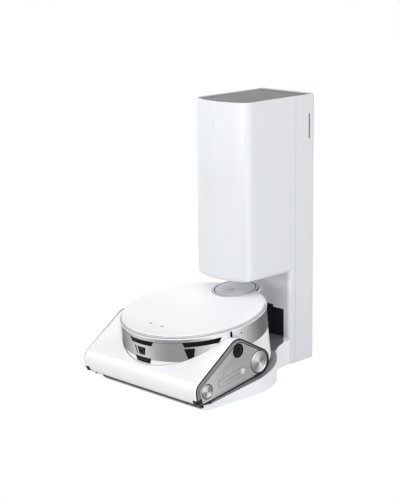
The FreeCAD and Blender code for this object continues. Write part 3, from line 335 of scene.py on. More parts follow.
def tower_white():
    """Pearl-white housings, with painted shade on the head's front that deepens towards its foot, painted
    light on its upper left, and painted shade in the side slots and the panel's well.
    """
    head_foot, head_middle = 180.0, 380.0
    slot_x, slot_foot, slot_front = 70.5, 455.0, 240.0
    well_half, well_z, well_reach, well_front = 55.5, 52.0, 6.5, 188.5
    finish = Finish("tower_white", roughness=0.28, coat_weight=0.25, coat_roughness=0.08)
    x, y, z = finish.axes()
    flow = finish.noise(7.0, 3.0)
    pale = finish.blend(flow, (0.72, 0.731, 0.746), (0.735, 0.746, 0.761))
    front_shade = finish.blend(flow, (0.61, 0.62, 0.635), (0.62, 0.63, 0.645))
    # Painted shade: the head's front is darker than its sides, and darker still towards its foot.
    front = (-finish.facing("Y")).above(0.72, 0.5) * z.above(head_foot, 20.0)
    tone = finish.blend(front * (1.6 - z.above(head_middle, 330.0)), pale, front_shade)
    # Painted light on the upper left of the head's front.
    left, upper = (-x).above(46.0, 44.0), z.above(330.0, 260.0)
    tone = finish.blend(front * left * upper * 0.6, tone, pale)
    # Painted shade in the side slots.
    slot = x.size().near(slot_x, 0.4, 0.3) * z.above(slot_foot, 2.0) * y.above(slot_front, 2.0)
    tone = finish.blend(slot, tone, grey(115))
    # Painted shade in the panel's well, below the docking panel.
    well = x.near(0.0, well_half, 1.0) * z.near(well_z, well_reach, 1.0) * y.above(well_front, 1.0)
    finish.set("Base Color", finish.blend(well, tone, (0.12, 0.125, 0.132)))
    finish.set("Roughness", 0.24 + finish.noise(30.0, 2.0) * 0.04)
    finish.bump(finish.noise(900.0, 2.0), 0.00001, 0.1)
    return finish


def base_white():
    """The station's base: white walls, painted shade on the front wall, and a grey ramp deepened by painted
    shade, with painted light making it pale in front.

    Past the ramp its deck is white, apart from a patch of painted shade at the column's foot that narrows to
    the back.
    """
    grey_from, ramp_end, foot_half = 8.0, 127.0, 85.0
    front_reach, edge_foot = 130.6, 3.2
    finish = Finish("base_white", roughness=0.36)
    x, y, z = finish.axes()
    flow = finish.noise(8.0, 3.0)
    wall = finish.blend(flow, (0.86, 0.87, 0.885), (0.9, 0.91, 0.925))
    # The ramp's own grey, deepened by painted shade under the robot; in front it is painted pale, painted
    # light that lifts the plough's shadow.
    deck = finish.blend(y.above(grey_from, 40.0), grey(240), finish.blend(flow, grey(155), grey(165)))
    past_ramp = y.above(ramp_end, 2.0)
    deck = finish.blend(past_ramp, deck, wall)
    # Painted shade at the column's foot.
    behind = y - (ramp_end + 1.0)
    foot = past_ramp * (x.size() + behind * behind * 0.0086).near(0.0, foot_half, 1.5)
    deck = finish.blend(foot, deck, grey(112))
    # Painted shade on the front wall under the robot's lip: grey, with a dark band along its top.
    edge = (-y).above(front_reach, 0.4)
    wall = finish.blend(edge, wall, finish.blend(z.above(edge_foot, 0.4), grey(205), grey(70)))
    top = finish.facing("Z").above(0.9, 0.1)
    finish.set("Base Color", finish.blend(top, wall, deck))
    finish.set("Roughness", 0.32 + top * 0.15 + finish.noise(60.0, 4.0) * 0.06)
    finish.bump(finish.noise(1500.0, 2.0), 0.00004, 0.4)
    return finish


def robot_white(name, colour):
    """Glossy white of the robot, with painted shade at the nose and low on its front face, and painted light
    towards the turret.
    """
    finish = Finish(name, coat_weight=0.15, coat_roughness=0.15)
    y, z = finish.robot_axes()[1:]
    flow = finish.noise(10.0, 3.0)
    tone = finish.blend(flow, shade(colour, 0.985), shade(colour, 1.01))
    # Painted shade on the nose.
    past_nose = y.above(-112.0, 60.0)
    tone = finish.blend(past_nose, shade(colour, 0.88), tone)
    # Painted light towards the turret.
    rear = y.above(10.0, 150.0)
    tone = finish.blend(rear, tone, shade(colour, 1.1))
    # Painted shade low on the front face.
    chin_shade = (-y).above(150.0, 8.0) * (1 - z.above(30.0, 36.0))
    finish.set("Base Color", finish.blend(chin_shade, tone, shade(colour, 0.77)))
    finish.set("Roughness", 0.3 + finish.noise(30.0, 2.0) * 0.05)
    finish.bump(finish.noise(900.0, 2.0), 0.00001, 0.08)
    return finish


def rubber(name, colour, rough=0.7, gloss=0.25):
    """Rubber: matt, slightly mottled, with a dusty bloom."""
    finish = Finish(name, roughness=rough, specular_ior_level=gloss)
    bloom = finish.noise(40.0, 5.0)
    finish.set("Base Color", finish.blend(bloom, shade(colour, 0.85), shade(colour, 1.3)))
    finish.set("Roughness", rough - 0.08 + bloom * 0.16)
    finish.bump(finish.noise(1400.0, 3.0), 0.00005, 0.5)
    return finish


def dark_pane(name, colour, rough, ledge=None):
    """Glossy infrared-dark pane: nearly black, a little lighter in places.

    With a ledge, given by its height in the station's axes, the pane's top above it is pale.
    """
    finish = Finish(name, roughness=rough, specular_ior_level=0.05)
    tone = finish.blend(finish.noise(22.0, 2.0), colour, shade(colour, 2.4))
    if ledge:
        tone = finish.blend(finish.axes()[2].above(ledge, 0.3), tone, grey(205))
    finish.set("Base Color", tone)
    finish.set("Roughness", rough - 0.02 + finish.noise(150.0, 3.0) * 0.06)
    return finish


# ---------------------------------------------------------------- finishes of metal
# The sheens are painted reflections in the base colour, running through (place, level): degrees round an
# axis, or millimetres along one of the robot's axes.
BAND_SHEEN = [(-180, 185), (-150, 150), (-120, 120), (-95, 195), (-75, 210), (-60, 90), (-45, 50), (-30, 84),
              (-22, 140), (-15, 171), (-5, 203), (5, 203), (15, 160), (25, 135), (40, 135), (50, 187),
              (62, 242), (72, 243), (80, 222), (90, 176), (98, 138), (107, 96), (118, 68), (130, 110),
              (180, 185)]
CAP_SHEEN = [(-180, 160), (-160, 138), (-140, 132), (-120, 157), (-100, 205), (-75, 226), (-60, 222),
             (-40, 190), (-20, 155), (0, 131), (20, 129), (40, 141), (60, 164), (80, 195), (100, 214),
             (125, 230), (145, 222), (180, 160)]
TURRET_SHEEN = [(-180, 240), (-150, 226), (-130, 216), (-90, 206), (-65, 220), (-30, 245), (-10, 232),
                (10, 228), (45, 244), (60, 255), (90, 242), (130, 248), (155, 255), (180, 240)]
RIM_SHEEN = [(-150, 196), (-112, 194), (-88, 182), (-64, 172), (-40, 163), (20, 161)]
PANEL_SHEEN = [(-150, 200), (-112, 197), (-88, 185), (-64, 174), (-40, 165), (20, 163)]
RIM_FACE_SHEEN = [(-160, 128), (-100, 138), (-40, 136), (0, 112), (40, 108)]
LID_SHEEN = [(-70, 150), (-40, 142), (0, 134), (70, 128)]


def silver_band():
    """Satin silver band round the body, with drawn grain and a painted reflection that turns from bright to
    dark as it goes round.
    """
    seam_z, seam_middle, seam_half = 107.6, -6.0, 44.0
    split_foot = 96.0
    finish = Finish("silver_band", metallic=1.0, roughness=0.26, specular_tint=(0.75, 0.75, 0.75, 1.0))
    x, y, z = finish.robot_axes()
    around = degrees_round(-y, x)
    # Painted reflection: the grey runs round the band through BAND_SHEEN.
    tone = finish.ramp(around, BAND_SHEEN)
    lines = finish.noise(900.0, 2.0, (1.0, 1.0, 0.02))
    tone = finish.blend(lines * 0.12, tone, grey(235))
    seam = z.near(seam_z, 0.5, 0.5) * around.near(seam_middle, seam_half, 1.0)
    tone = finish.blend(seam * 0.6, tone, grey(60))
    split = around.size().near(BUMPER_END + 0.5, 0.9, 0.3) * z.above(split_foot, 1.0)
    finish.set("Base Color", finish.blend(split, tone, grey(14)))
    finish.set("Roughness", 0.24 + lines * 0.08 + finish.noise(14.0, 2.0) * 0.05)
    finish.bump(lines, 0.00001, 0.25)
    return finish


def brushed(name, stretch, axis, sheen, rough=0.3, metal_from=None, rim=1.0):
    """Brushed metal with a painted sheen along one of the robot's axes, and its grain drawn out by stretch.

    With metal_from, only what lies further out to the sides than it is metal; the rest is white plastic.
    A rim below 1 holds back what the metal mirrors at a glancing angle.
    """
    finish = Finish(name, metallic=1.0, roughness=rough, specular_tint=(rim, rim, rim, 1.0))
    # Painted sheen: the base colour runs along the axis through the sheen's stops.
    tone = finish.ramp(finish.robot_axes()["XYZ".index(axis)], sheen)
    lines = finish.noise(700.0, 3.0, stretch, 0.6)
    tone = finish.blend(lines * 0.3, tone, grey(120))
    tone = finish.blend(finish.noise(12.0, 2.0) * 0.1, tone, grey(235))
    roughness = rough - 0.06 + lines * 0.14
    if metal_from:
        metal = finish.axes()[0].size().above(metal_from, 0.2)
        tone = finish.blend(metal, grey(235), tone)
        roughness = finish.blend(metal, 0.3, roughness)
        finish.set("Metallic", metal)
    finish.set("Base Color", tone)
    finish.set("Roughness", roughness)
    finish.bump(lines, 0.00001, 0.4)
    return finish


def spun(name, plane, sheen, centre, other=None, other_from=0.0, rough=0.26, metallic=1.0):
    """Metal spun round a centre in a plane of the robot's axes, with a painted sheen that turns with the
    angle.

    Where the plane's first axis is past other_from, it is spun round the other centre instead.
    """
    finish = Finish(name, metallic=metallic, roughness=rough)
    axes = finish.robot_axes()
    first, second = (axes["XYZ".index(axis)] for axis in plane)
    across, up = first - centre[0], second - centre[1]
    if other:
        there = first.above(other_from, 0.5)
        across = finish.blend(there, across, first - other[0])
        up = finish.blend(there, up, second - other[1])
    radius = (across * across + up * up).math("SQRT")
    rings = finish.add("ShaderNodeTexNoise", {"noise_dimensions": "1D"},
                       {"W": radius, "Scale": 3.5, "Detail": 2.0}).out("Fac")
    # Painted sheen round the centre.
    tone = finish.ramp(degrees_round(across, up), sheen)
    finish.set("Base Color", finish.blend(rings * 0.22, tone, grey(110)))
    finish.set("Roughness", rough - 0.05 + rings * 0.1)
    finish.bump(rings, 0.00002, 0.35)
    return finish


# ---------------------------------------------------------------- finishes of what is inside
def circuit_board(name, colour):
    """Circuit board: solder mask with paler traces and pads showing through."""
    finish = Finish(name, roughness=0.35)
    trace = finish.cells(160.0, {"distance": "CHEBYCHEV"}).above(0.42, 0.05)
    finish.set("Base Color", finish.blend(trace, colour, shade(colour, 2.2)))
    finish.set("Roughness", 0.3 + trace * 0.15)
    finish.bump(trace, 0.00005, 0.6)
    return finish


def fleece(name, colour):
    """Non-woven filter fabric: pressed fibres with a faint point-bond grid."""
    finish = Finish(name, roughness=0.95, sheen_weight=0.2)
    fibres = finish.noise(900.0, 6.0, (1.0, 1.0, 0.35), 0.7)
    bonds = finish.cells(420.0, {}, Randomness=0.15)
    finish.set("Base Color", finish.blend(fibres, shade(colour, 0.86), colour))
    finish.bump((fibres * 0.5 + bonds).clamped(), 0.0002, 0.6)
    return finish


# ---------------------------------------------------------------- mesh tools
WELD = 2e-6                          # points closer than this, in metres, are one
NO_LENGTH = 1e-7                     # an edge shorter than this, in metres, is none
ON_AXIS = 0.0005                     # radius in millimetres that stands for none until the weld


def piece(name, body, finish, build, crease=35.0):
    """A new mesh piece that build(shape) fills, riding on a body."""
    mesh = bpy.data.meshes.new(name)
    shape = bmesh.new()
    build(shape)
    bmesh.ops.remove_doubles(shape, verts=shape.verts, dist=WELD)
    bmesh.ops.dissolve_degenerate(shape, edges=shape.edges, dist=NO_LENGTH)
    bmesh.ops.recalc_face_normals(shape, faces=shape.faces)
    shape.to_mesh(mesh)
    shape.free()
    mesh.shade_smooth()
    mesh.set_sharp_from_angle(angle=math.radians(crease))
    mesh.materials.append(finish.material)
    made = bpy.data.objects.new(name, mesh)
    bpy.context.scene.collection.objects.link(made)
    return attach(made, body)


def skin(shape, rings, closed=False):
    """Skin rings of points into a tube; closed joins the last ring to the first, else it has end caps."""
    loops = [[shape.verts.new(point) for point in ring] for ring in rings]
    for first, second in zip(loops, loops[1:] + (loops[:1] if closed else [])):
        for i in range(len(first)):
            j = (i + 1) % len(first)
            shape.faces.new((first[i], first[j], second[j], second[i]))
    if not closed:
        shape.faces.new(loops[0][::-1])
        shape.faces.new(loops[-1])


def facing_out(point, way):
    """A place whose Z axis runs along way."""
    return Matrix.Translation(point) @ Vector(way).to_track_quat("Z", "Y").to_matrix().to_4x4()


def revolve(shape, place, profile, count):
    """Turn a profile of (radius, height), in millimetres, about the Z axis of place.

    A flat face closes each end of the profile.
    """
    rings = []
    for radius, height in profile:
        reach = max(radius, ON_AXIS)
        turns = [math.tau * i / count for i in range(count)]
        circle = [Vector((reach * math.cos(turn), reach * math.sin(turn), height)) for turn in turns]
        rings.append([place @ (point * MM) for point in circle])
    skin(shape, rings)


def ring_profile(inner, outer, low, high):
    """The section of a flat ring with softened upper edges. At its foot, revolve closes the ring's hole."""
    edge = min(0.4, (high - low) / 3, (outer - inner) / 3)
    return [(inner, low), (outer, low), (outer, high - edge), (outer - edge, high), (inner + edge, high),
            (inner, high - edge), (inner, low)]


def belt_strip(shape, side, section):
    """A closed strip on one side of the plough; section lists (belt, inset, height) round the strip."""
    rails = [belt_ring(side, *corner) for corner in section]
    skin(shape, list(zip(*rails)), closed=True)


def wall_patch(shape, corners, outer, inner, steps=12):
    """A thin plate on the robot's round wall, between two radii.

    The corners are (degrees, z): top left, top right, bottom right and bottom left.
    """
    (a0, z0), (a1, z1), (a2, z2), (a3, z3) = corners
    rings = []
    for i in range(steps + 1):
        share = i / steps
        top = (a0 + (a1 - a0) * share, z0 + (z1 - z0) * share)
        low = (a3 + (a2 - a3) * share, z3 + (z2 - z3) * share)
        section = ((top, outer), (low, outer), (low, inner), (top, inner))
        rings.append([on_wall(degrees, z, radius) for (degrees, z), radius in section])
    skin(shape, rings)


def bead(shape, points, radius, sides=6, closed=False):
    """A round bead of this radius, in millimetres, that follows points."""
    rings = []
    last = len(points) - 1
    turns = [math.tau * k / sides for k in range(sides)]
    circle = [Vector((radius * MM * math.cos(turn), radius * MM * math.sin(turn), 0)) for turn in turns]
    for i, point in enumerate(points):
        before = points[i - 1] if closed or i > 0 else point
        after = points[(i + 1) % len(points)] if closed or i < last else point
        along = (after - before).normalized().to_track_quat("Z", "X")
        rings.append([point + along @ corner for corner in circle])
    skin(shape, rings, closed)


# ---------------------------------------------------------------- the plough's sides
def edge_strips(side, name, finishes):
    """Brushed face of the metal rim on one side, with a dark gasket outside it, a joint widened with painted
    shade, and a thinner one inside.
    """
    face, foot = 1.6, -0.4           # heights of the rim's face and of the strips' feet above the panel
    rim_gasket = [(EDGE, 0.05, 0.7), (EDGE, 0.05, face), (EDGE, 0.3, 1.85), (EDGE, 2.2, 1.85),
                  (OUTER, 2.0, face), (OUTER, 2.0, 0.9)]
    rim_face = [(OUTER, 1.5, 1.2), (OUTER, 1.5, face), (INNER, -0.3, face), (INNER, 0.2, 1.3),
                (INNER, 0.2, foot), (INNER, -0.6, foot)]
    panel_gasket = [(INNER, 0.1, foot), (INNER, -0.5, face), (INNER, 0.0, 1.8), (INNER, 0.8, face),
                    (INNER, 1.2, foot)]
    for part, finish, section in (("rim_gasket_", "gasket", rim_gasket), ("rim_face_", "rim_face", rim_face),
                                  ("panel_gasket_", "gasket", panel_gasket)):
        piece(part + name, "robot", finishes[finish], lambda shape: belt_strip(shape, side, section))


def side_round(part, side, finish, centre, profile, count=48):
    """A round fitting on one side of the plough; its profile's heights start at the panel's face."""
    seat = facing_out(on_side(side, centre[0], centre[1], 0), robot_way(side, 0, 0))
    piece(part, "robot", finish, lambda shape: revolve(shape, seat, profile, count))


def port_fittings(side, name, finishes):
    """Ring, domed lens and bezel in the round port on one side of the plough."""
    radius = PORT[2]
    lens = [(0, -0.3), (7.4, -0.3), (7.4, 0.3), (6.4, 0.7), (3.6, 1.1), (0, 1.2)]
    side_round("port_ring_" + name, side, finishes["gasket"], PORT,
               ring_profile(radius - 2.2, radius - 0.1, -0.2, 0.9))
    side_round("port_lens_" + name, side, finishes["lens"], PORT, lens)
    side_round("port_bezel_" + name, side, finishes["smoked"], PORT, ring_profile(7.8, 9.4, -0.2, 0.6))


def cap_collars(side, name, finish):
    """Dark collars round the two spun caps on one side of the plough, rings of painted shade round each
    cap's joint.
    """
    for part, cap in (("hub", REAR_CAP), ("nose", FRONT_CAP)):
        radius = cap[2]
        side_round(part + "_collar_" + name, side, finish, cap,
                   ring_profile(radius + 0.1, radius + 1.3, -0.7, 0.6))


def capsule(side, name, finishes):
    """The long plate on one side panel, with its gasket, a plain line along it, and a button and a ring."""
    front, rear = CAPSULE

    def plate(shape):
        skin(shape, [belt_ring(side, CAPSULE, inset, height)
                     for inset, height in ((0, -0.2), (0, 0.25), (0.4, 0.45))])

    def gasket(shape):
        belt_strip(shape, side, [(CAPSULE, -0.5, -0.2), (CAPSULE, -0.5, 0.15), (CAPSULE, 0.1, 0.3),
                                 (CAPSULE, 0.1, -0.2)])

    def line(shape):
        ends = [(front[0] + 9, front[1] + 0.4, 0.5), (rear[0] - 8, rear[1] - 0.4, 0.5)]
        skin(shape, [belt_ring(side, ends, 0, height, 6) for height in (0.3, 0.52)])

    button = [(0, 0.3), (5.6, 0.3), (5.6, 0.5), (5.0, 0.9), (2.8, 1.1), (0, 1.15)]
    piece("capsule_plate_" + name, "robot", finishes["panel"], plate)
    piece("capsule_gasket_" + name, "robot", finishes["seam"], gasket)
    piece("capsule_track_" + name, "robot", finishes["seam"], line)
    side_round("capsule_button_" + name, side, finishes["button"], rear, button, 40)
    side_round("capsule_ring_" + name, side, finishes["seam"], front, ring_profile(4.9, 5.4, 0.3, 0.65), 40)


def panel_seams(side, name, finish):
    """Fine grey lines of painted shade in the side panel's grooves."""
    lines = (((-28.0, 71.0), (-8.0, 59.6)), ((-55.0, 72.0), (-110.0, 43.3)),
             ((-50.0, 67.0), (-103.5, 39.0)), ((-26.8, 37.0), (-11.0, 38.0)))

    def build(shape):
        for ends in lines:
            bead(shape, [on_side(side, y, z, -0.1) for y, z in ends], 0.32)

    piece("panel_seams_" + name, "robot", finish, build)


def sound_hole(side, name, finish):
    """Small dark opening high on the fixed rear band."""
    turn, height = side * 84.3, 104.1
    seat = facing_out(on_wall(turn, height, BAND - 0.2), wall_way(turn))
    profile = [(0, 0), (1.5, 0), (1.5, 0.25), (1.2, 0.35), (0, 0.35)]
    piece("sound_hole_" + name, "robot", finish, lambda shape: revolve(shape, seat, profile, 24))


# ---------------------------------------------------------------- the bumper's front
def camera_eye(finishes):
    """Camera in the middle of the bumper: frame, pane, barrel and lens, with a light bar beside it."""
    z, radius = 85.0, BAND - 0.6

    def rounded(half_width, half_height, corner, height):
        """A rounded rectangle on the wall, this high above the camera's seat."""
        points = []
        for (across, up), first in zip(SQUARE, (0, 90, 180, 270)):
            for i in range(7):
                turn = math.radians(first + i * 15)
                u = across * (half_width - corner) + corner * math.cos(turn)
                v = up * (half_height - corner) + corner * math.sin(turn)
                points.append(on_wall(math.degrees(u / radius), z + v, radius + height))
        return points

    def frame_part(shape):
        skin(shape, [rounded(7.2, 6.6, 2.4, 0), rounded(7.2, 6.6, 2.4, 0.5), rounded(6.6, 6.0, 2.0, 0.6),
                     rounded(6.0, 5.4, 1.6, 0.3), rounded(6.0, 5.4, 1.6, 0)], closed=True)

    def pane(shape):
        skin(shape, [rounded(6.0, 5.4, 1.6, 0.05), rounded(6.0, 5.4, 1.6, 0.25)])

    def bar(shape):
        corners = [(-7.5, 93.0), (-6.3, 93.0), (-4.9, 77.5), (-5.6, 77.5)]
        wall_patch(shape, corners, BAND + 0.3, BAND - 0.3, 6)

    seat = facing_out(on_wall(0, z, radius), wall_way(0))
    barrel = [(2.9, 0.2), (4.2, 0.2), (4.2, 0.45), (3.9, 0.55), (3.1, 0.55), (2.9, 0.35), (2.9, 0.2)]
    lens = [(0, 0.1), (2.9, 0.1), (2.9, 0.3), (2.0, 0.5), (0, 0.58)]
    piece("camera_frame", "bumper", finishes["gasket"], frame_part)
    piece("camera_pane", "bumper", finishes["smoked"], pane)
    piece("camera_barrel", "bumper", finishes["gasket"], lambda shape: revolve(shape, seat, barrel, 40))
    piece("camera_lens", "bumper", finishes["lens"], lambda shape: revolve(shape, seat, lens, 40))
    piece("light_bar", "bumper", finishes["gasket"], bar)


def slot_slats(finish):
    """Slats across the lower sensor slot, each shorter than the one above it."""
    thickness, pitch = 0.9, 3.1

    def build(shape):
        for i in range(3):
            top = 69.4 - i * pitch
            half = 8.2 - 0.55 * i
            corners = [(-half, top), (half, top), (half, top - thickness), (-half, top - thickness)]
            wall_patch(shape, corners, BAND - 0.1, BAND - 0.9)

    piece("slot_slats", "bumper", finish, build)


def bumper_stops(finish):
    """Dark end stops where the bumper's top edge meets the fixed rear half."""
    start, end, top = BUMPER_END - 2.6, BUMPER_END + 0.5, 115.1
    for side, name in ((-1, "left"), (1, "right")):
        outline = ((start, top), (end, top), (end, top - 1.5), (start, top - 0.8))
        corners = [(side * degrees, z) for degrees, z in outline]
        piece("bumper_stop_" + name, "robot", finish,
              lambda shape: wall_patch(shape, corners, BAND - 0.05, BAND - 1.8, 6))


# ---------------------------------------------------------------- the robot's top
def touch_marks(finish):
    """Two small touch rings, the left one open round a stroke, with dashes in and beside the right one."""
    ring_x, marks_y, radius, line, steps = 16.0, -99.5, 3.0, 0.42, 24

    def on_cover(x, y):
        return on_robot(x, marks_y + y, ROBOT_TOP + 0.05)

    def build(shape):
        for x, gap in ((-ring_x, 40.0), (ring_x, 0.0)):
            turns = [math.radians(90 + gap + i * (360 - 2 * gap) / steps)
                     for i in range(steps + 1 if gap else steps)]
            ring = [on_cover(x + radius * math.cos(turn), radius * math.sin(turn)) for turn in turns]
            bead(shape, ring, line, closed=not gap)
        bead(shape, [on_cover(-ring_x, 0), on_cover(-ring_x, 3.5)], line)
        for x, half in ((ring_x, 1.2), (0, 1.6)):
            bead(shape, [on_cover(x - half, 0), on_cover(x + half, 0)], line)

    piece("touch_marks", "robot", finish, build)


def top_seams(finish):
    """A fine grey line where the cover meets the rim, and a line of painted shade where the rim steps out.
    """
    first, span, steps = -40.0, 260.0, 180
    for name, radius, z, width in (("cover_seam", BAND - 2.5, ROBOT_TOP - 2.3, 0.35),
                                   ("rim_step_shade", BAND - 0.05, ROBOT_TOP - 4.15, 0.5)):
        points = []
        for i in range(steps + 1):
            turn = math.radians(first + span * i / steps)
            points.append(on_robot(-radius * math.cos(turn), -radius * math.sin(turn), z))
        piece(name, "robot", finish, lambda shape: bead(shape, points, width))


def turret_trim(finish):
    """Metal ring that carries the turret's cap out to its dark gap."""
    seat = facing_out(on_robot(0, TURRET[1], ROBOT_TOP), UP)
    profile = [(44.6, -0.6), (46.7, -0.6), (46.7, 0.3), (46.3, 0.6), (43.3, 0.6), (43.0, 0.52), (44.6, 0.2),
               (44.6, -0.6)]
    piece("turret_ring", "robot", finish, lambda shape: revolve(shape, seat, profile, 96))


# ---------------------------------------------------------------- the running gear
def brush_bristles(finish):
    """Rows of bristles between the brush's rubber blades, twisted nearly as the blades are."""
    axle_y, axle_z, half_length, foot_radius, tip_radius = -122.0, 25.0, 96, 13.5, 22.5
    rows, in_row, twist = 4, 42, 0.55                    # twist in degrees for each millimetre of length
    random.seed(7)

    def build(shape):
        for row in range(rows):
            for i in range(in_row):
                x = -half_length + i * 2 * half_length / (in_row - 1)
                turn = math.radians(45 + 90 * row + twist * abs(x) + random.uniform(-3, 3))
                lean = turn + math.radians(random.uniform(-4, 4))
                rings = []
                for angle, radius, half in ((turn, foot_radius, 0.55), (lean, tip_radius, 0.3)):
                    y, z = axle_y + radius * math.cos(angle), axle_z + radius * math.sin(angle)
                    across, down = half * math.sin(turn), half * math.cos(turn)
                    rings.append([on_robot(x + half * u, y + v * across, z - v * down) for u, v in SQUARE])
                skin(shape, rings)

    piece("brush_bristles", "brush", finish, build)


def corner_tufts(finish):
    """Bristles round the small guides under the plough's front corners."""
    in_tuft = 16
    random.seed(11)

    def build(shape):
        for x in (-150.0, 150.0):
            for y in (-142.0, -121.0):
                for i in range(in_tuft):
                    turn = math.tau * i / in_tuft + random.uniform(-0.1, 0.1)
                    spread = random.uniform(2.2, 3.0)
                    rings = []
                    for reach, z, half in ((1.7, 10.0, 0.32), (spread, random.uniform(1.2, 2.2), 0.18)):
                        cx, cy = x + reach * math.cos(turn), y + reach * math.sin(turn)
                        rings.append([on_robot(cx + half * u, cy + half * v, z) for u, v in SQUARE])
                    skin(shape, rings)

    piece("corner_tufts", "robot", finish, build)


# ---------------------------------------------------------------- the dust bag
def rounded_square(c, s, power):
    """How far a rounded square reaches in the direction (c, s); a greater power has sharper corners."""
    return (abs(c) ** power + abs(s) ** power) ** (-1 / power)


def dust_bag(finishes):
    """Fleece dust bag: it bulges, sags and creases, with a card collar at its mouth."""
    low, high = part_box("dust_bag")
    middle, half = (low + high) / 2, (high - low) / 2
    rows, around = 56, 96

    def on_bag(turn, share):
        """A place on the bag's skin, this far round it and this share of the way up."""
        c, s = math.cos(turn), math.sin(turn)
        close = math.sin(math.pi * min(0.999, max(0.001, share))) ** 0.28     # closes in at both ends
        sag = 1.0 - 0.10 * share - 0.03 * math.sin(5.0 * share)               # fuller towards the foot
        crease = 1 - 0.016 * (math.sin(9 * turn + 6 * share) * math.sin(11 * share + 2 * turn)) ** 2
        crease -= 0.02 * abs(math.sin(3.5 * math.pi * share + math.sin(2 * turn))) ** 6
        size = rounded_square(c, s, 3.2) * close * sag * crease * 0.985
        height = low.z + 0.001 + (high.z - low.z - 0.004) * share
        height -= 0.003 * (1 - close) * math.sin(3 * turn)
        return Vector((middle.x + half.x * c * size, middle.y - 0.002 + (half.y - 0.003) * s * size, height))

    def fleece_part(shape):
        turns = [math.tau * i / around for i in range(around)]
        skin(shape, [[on_bag(turn, k / rows) for turn in turns] for k in range(rows + 1)])

    def seam_part(shape):
        for turn in (0.0, math.pi):
            bead(shape, [on_bag(turn, 0.03 + 0.94 * k / rows) for k in range(rows + 1)], 0.8, 8)

    def collar_part(shape):
        mouth_z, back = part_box("suction_duct")[1].z - 0.019, high.y - 0.0002
        count, reach, bore, thickness = 64, 0.040, 0.018, 0.0025
        outer, inner = [], []
        for i in range(count):
            turn = math.tau * i / count
            c, s = math.cos(turn), math.sin(turn)
            square = reach * rounded_square(c, s, 8)
            outer.append((square * c, mouth_z + square * s))
            inner.append((bore * c, mouth_z + bore * s))
        front = back - thickness
        rings = [[Vector((x, y, z)) for x, z in loop]
                 for loop, y in ((outer, back), (outer, front), (inner, front), (inner, back))]
        skin(shape, rings, closed=True)

    bag = piece("dust_bag_fleece", "station", finishes["fleece"], fleece_part, 60.0)
    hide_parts("dust_bag")
    piece("dust_bag_seam", "station", finishes["fleece"], seam_part)
    piece("dust_bag_collar", "station", finishes["card"], collar_part)


# ---------------------------------------------------------------- camera, light and stage
def aim_camera():
    """Camera well back, in front of the object and to its right, looking a little down on it."""
    stand = Vector((2.0001, -1.9537, 0.9293))
    azimuth, elevation, roll = math.radians(45.6), math.radians(13.4), math.radians(-0.7)
    away = Vector((math.sin(azimuth) * math.cos(elevation), -math.cos(azimuth) * math.cos(elevation),
                   math.sin(elevation)))
    right = Vector((math.cos(azimuth), math.sin(azimuth), 0))
    up = away.cross(right)
    side = right * math.cos(roll) + up * math.sin(roll)
    top = up * math.cos(roll) - right * math.sin(roll)
    data = bpy.data.cameras.new("camera")
    data.sensor_width = 36
    data.sensor_fit = "AUTO"
    data.lens = 105.8
    data.clip_end = 50
    camera = bpy.data.objects.new("camera", data)
    camera.matrix_world = Matrix.Translation(stand) @ Matrix((side, top, away)).transposed().to_4x4()
    bpy.context.scene.collection.objects.link(camera)
    bpy.context.scene.camera = camera


def lamp(name, place, target, size, power):
    """A soft box of this width and height in metres, pointed at target."""
    data = bpy.data.lights.new(name, "AREA")
    data.shape = "RECTANGLE"
    data.size, data.size_y = size
    data.energy = power
    light = bpy.data.objects.new(name, data)
    turn = (Vector(target) - Vector(place)).to_track_quat("-Z", "Y")
    light.matrix_world = Matrix.Translation(place) @ turn.to_matrix().to_4x4()
    bpy.context.scene.collection.objects.link(light)


def light_studio():
    """A pale world that looks white, and five soft boxes."""
    world = bpy.data.worlds.new("studio")
    world.use_nodes = True
    bpy.context.scene.world = world
    tree = Tree(world.node_tree)
    background = tree.nodes["Background"]
    tree.feed(background.inputs["Color"], (0.95, 0.97, 1.0))
    tree.feed(background.inputs["Strength"], 0.55)
    white = tree.add("ShaderNodeBackground", {}, {"Color": (1.0, 1.0, 1.0)}).out("Background")
    tree.show_white(tree.shader("Background"), white, "World Output")
    lamp("key_left", (-1.9, -1.7, 1.7), (0, 0.05, 0.2), (1.6, 1.8), 25)
    lamp("top_soft", (0.2, -1.1, 2.3), (0, 0.05, 0.1), (1.8, 1.6), 19)
    lamp("right_fill", (2.3, -0.4, 1.0), (0, 0.05, 0.2), (1.2, 1.6), 11)
    lamp("low_front", (1.1, -2.4, 0.35), (0, 0.15, 0.15), (1.6, 0.5), 17)
    lamp("corner_strip", (2.6, -2.0, 1.2), (0, 0.05, 0.3), (0.25, 1.6), 5)


def lay_floor():
    """A wide pale floor that looks white."""
    size = 6.0
    mesh = bpy.data.meshes.new("floor")
    corners = [(-size, -size, 0), (size, -size, 0), (size, size, 0), (-size, size, 0)]
    mesh.from_pydata(corners, [], [(0, 1, 2, 3)])
    floor = bpy.data.objects.new("floor", mesh)
    bpy.context.scene.collection.objects.link(floor)
    finish = Finish("floor_white", roughness=0.9)
    finish.set("Base Color", (0.9, 0.9, 0.9))
    glow = finish.add("ShaderNodeEmission", {}, {"Color": (1.0, 1.0, 1.0), "Strength": 1.0}).out("Emission")
    finish.show_white(finish.shader("Principled BSDF"), glow, "Material Output")
    mesh.materials.append(finish.material)


def dress_nodes(finishes, dressing):
    """Give each CAD node the finish named for it."""
    for key, names in dressing.items():
        for name in names.split():
            mesh = NODES[name].data
            mesh.materials.clear()
            mesh.materials.append(finishes[key].material)


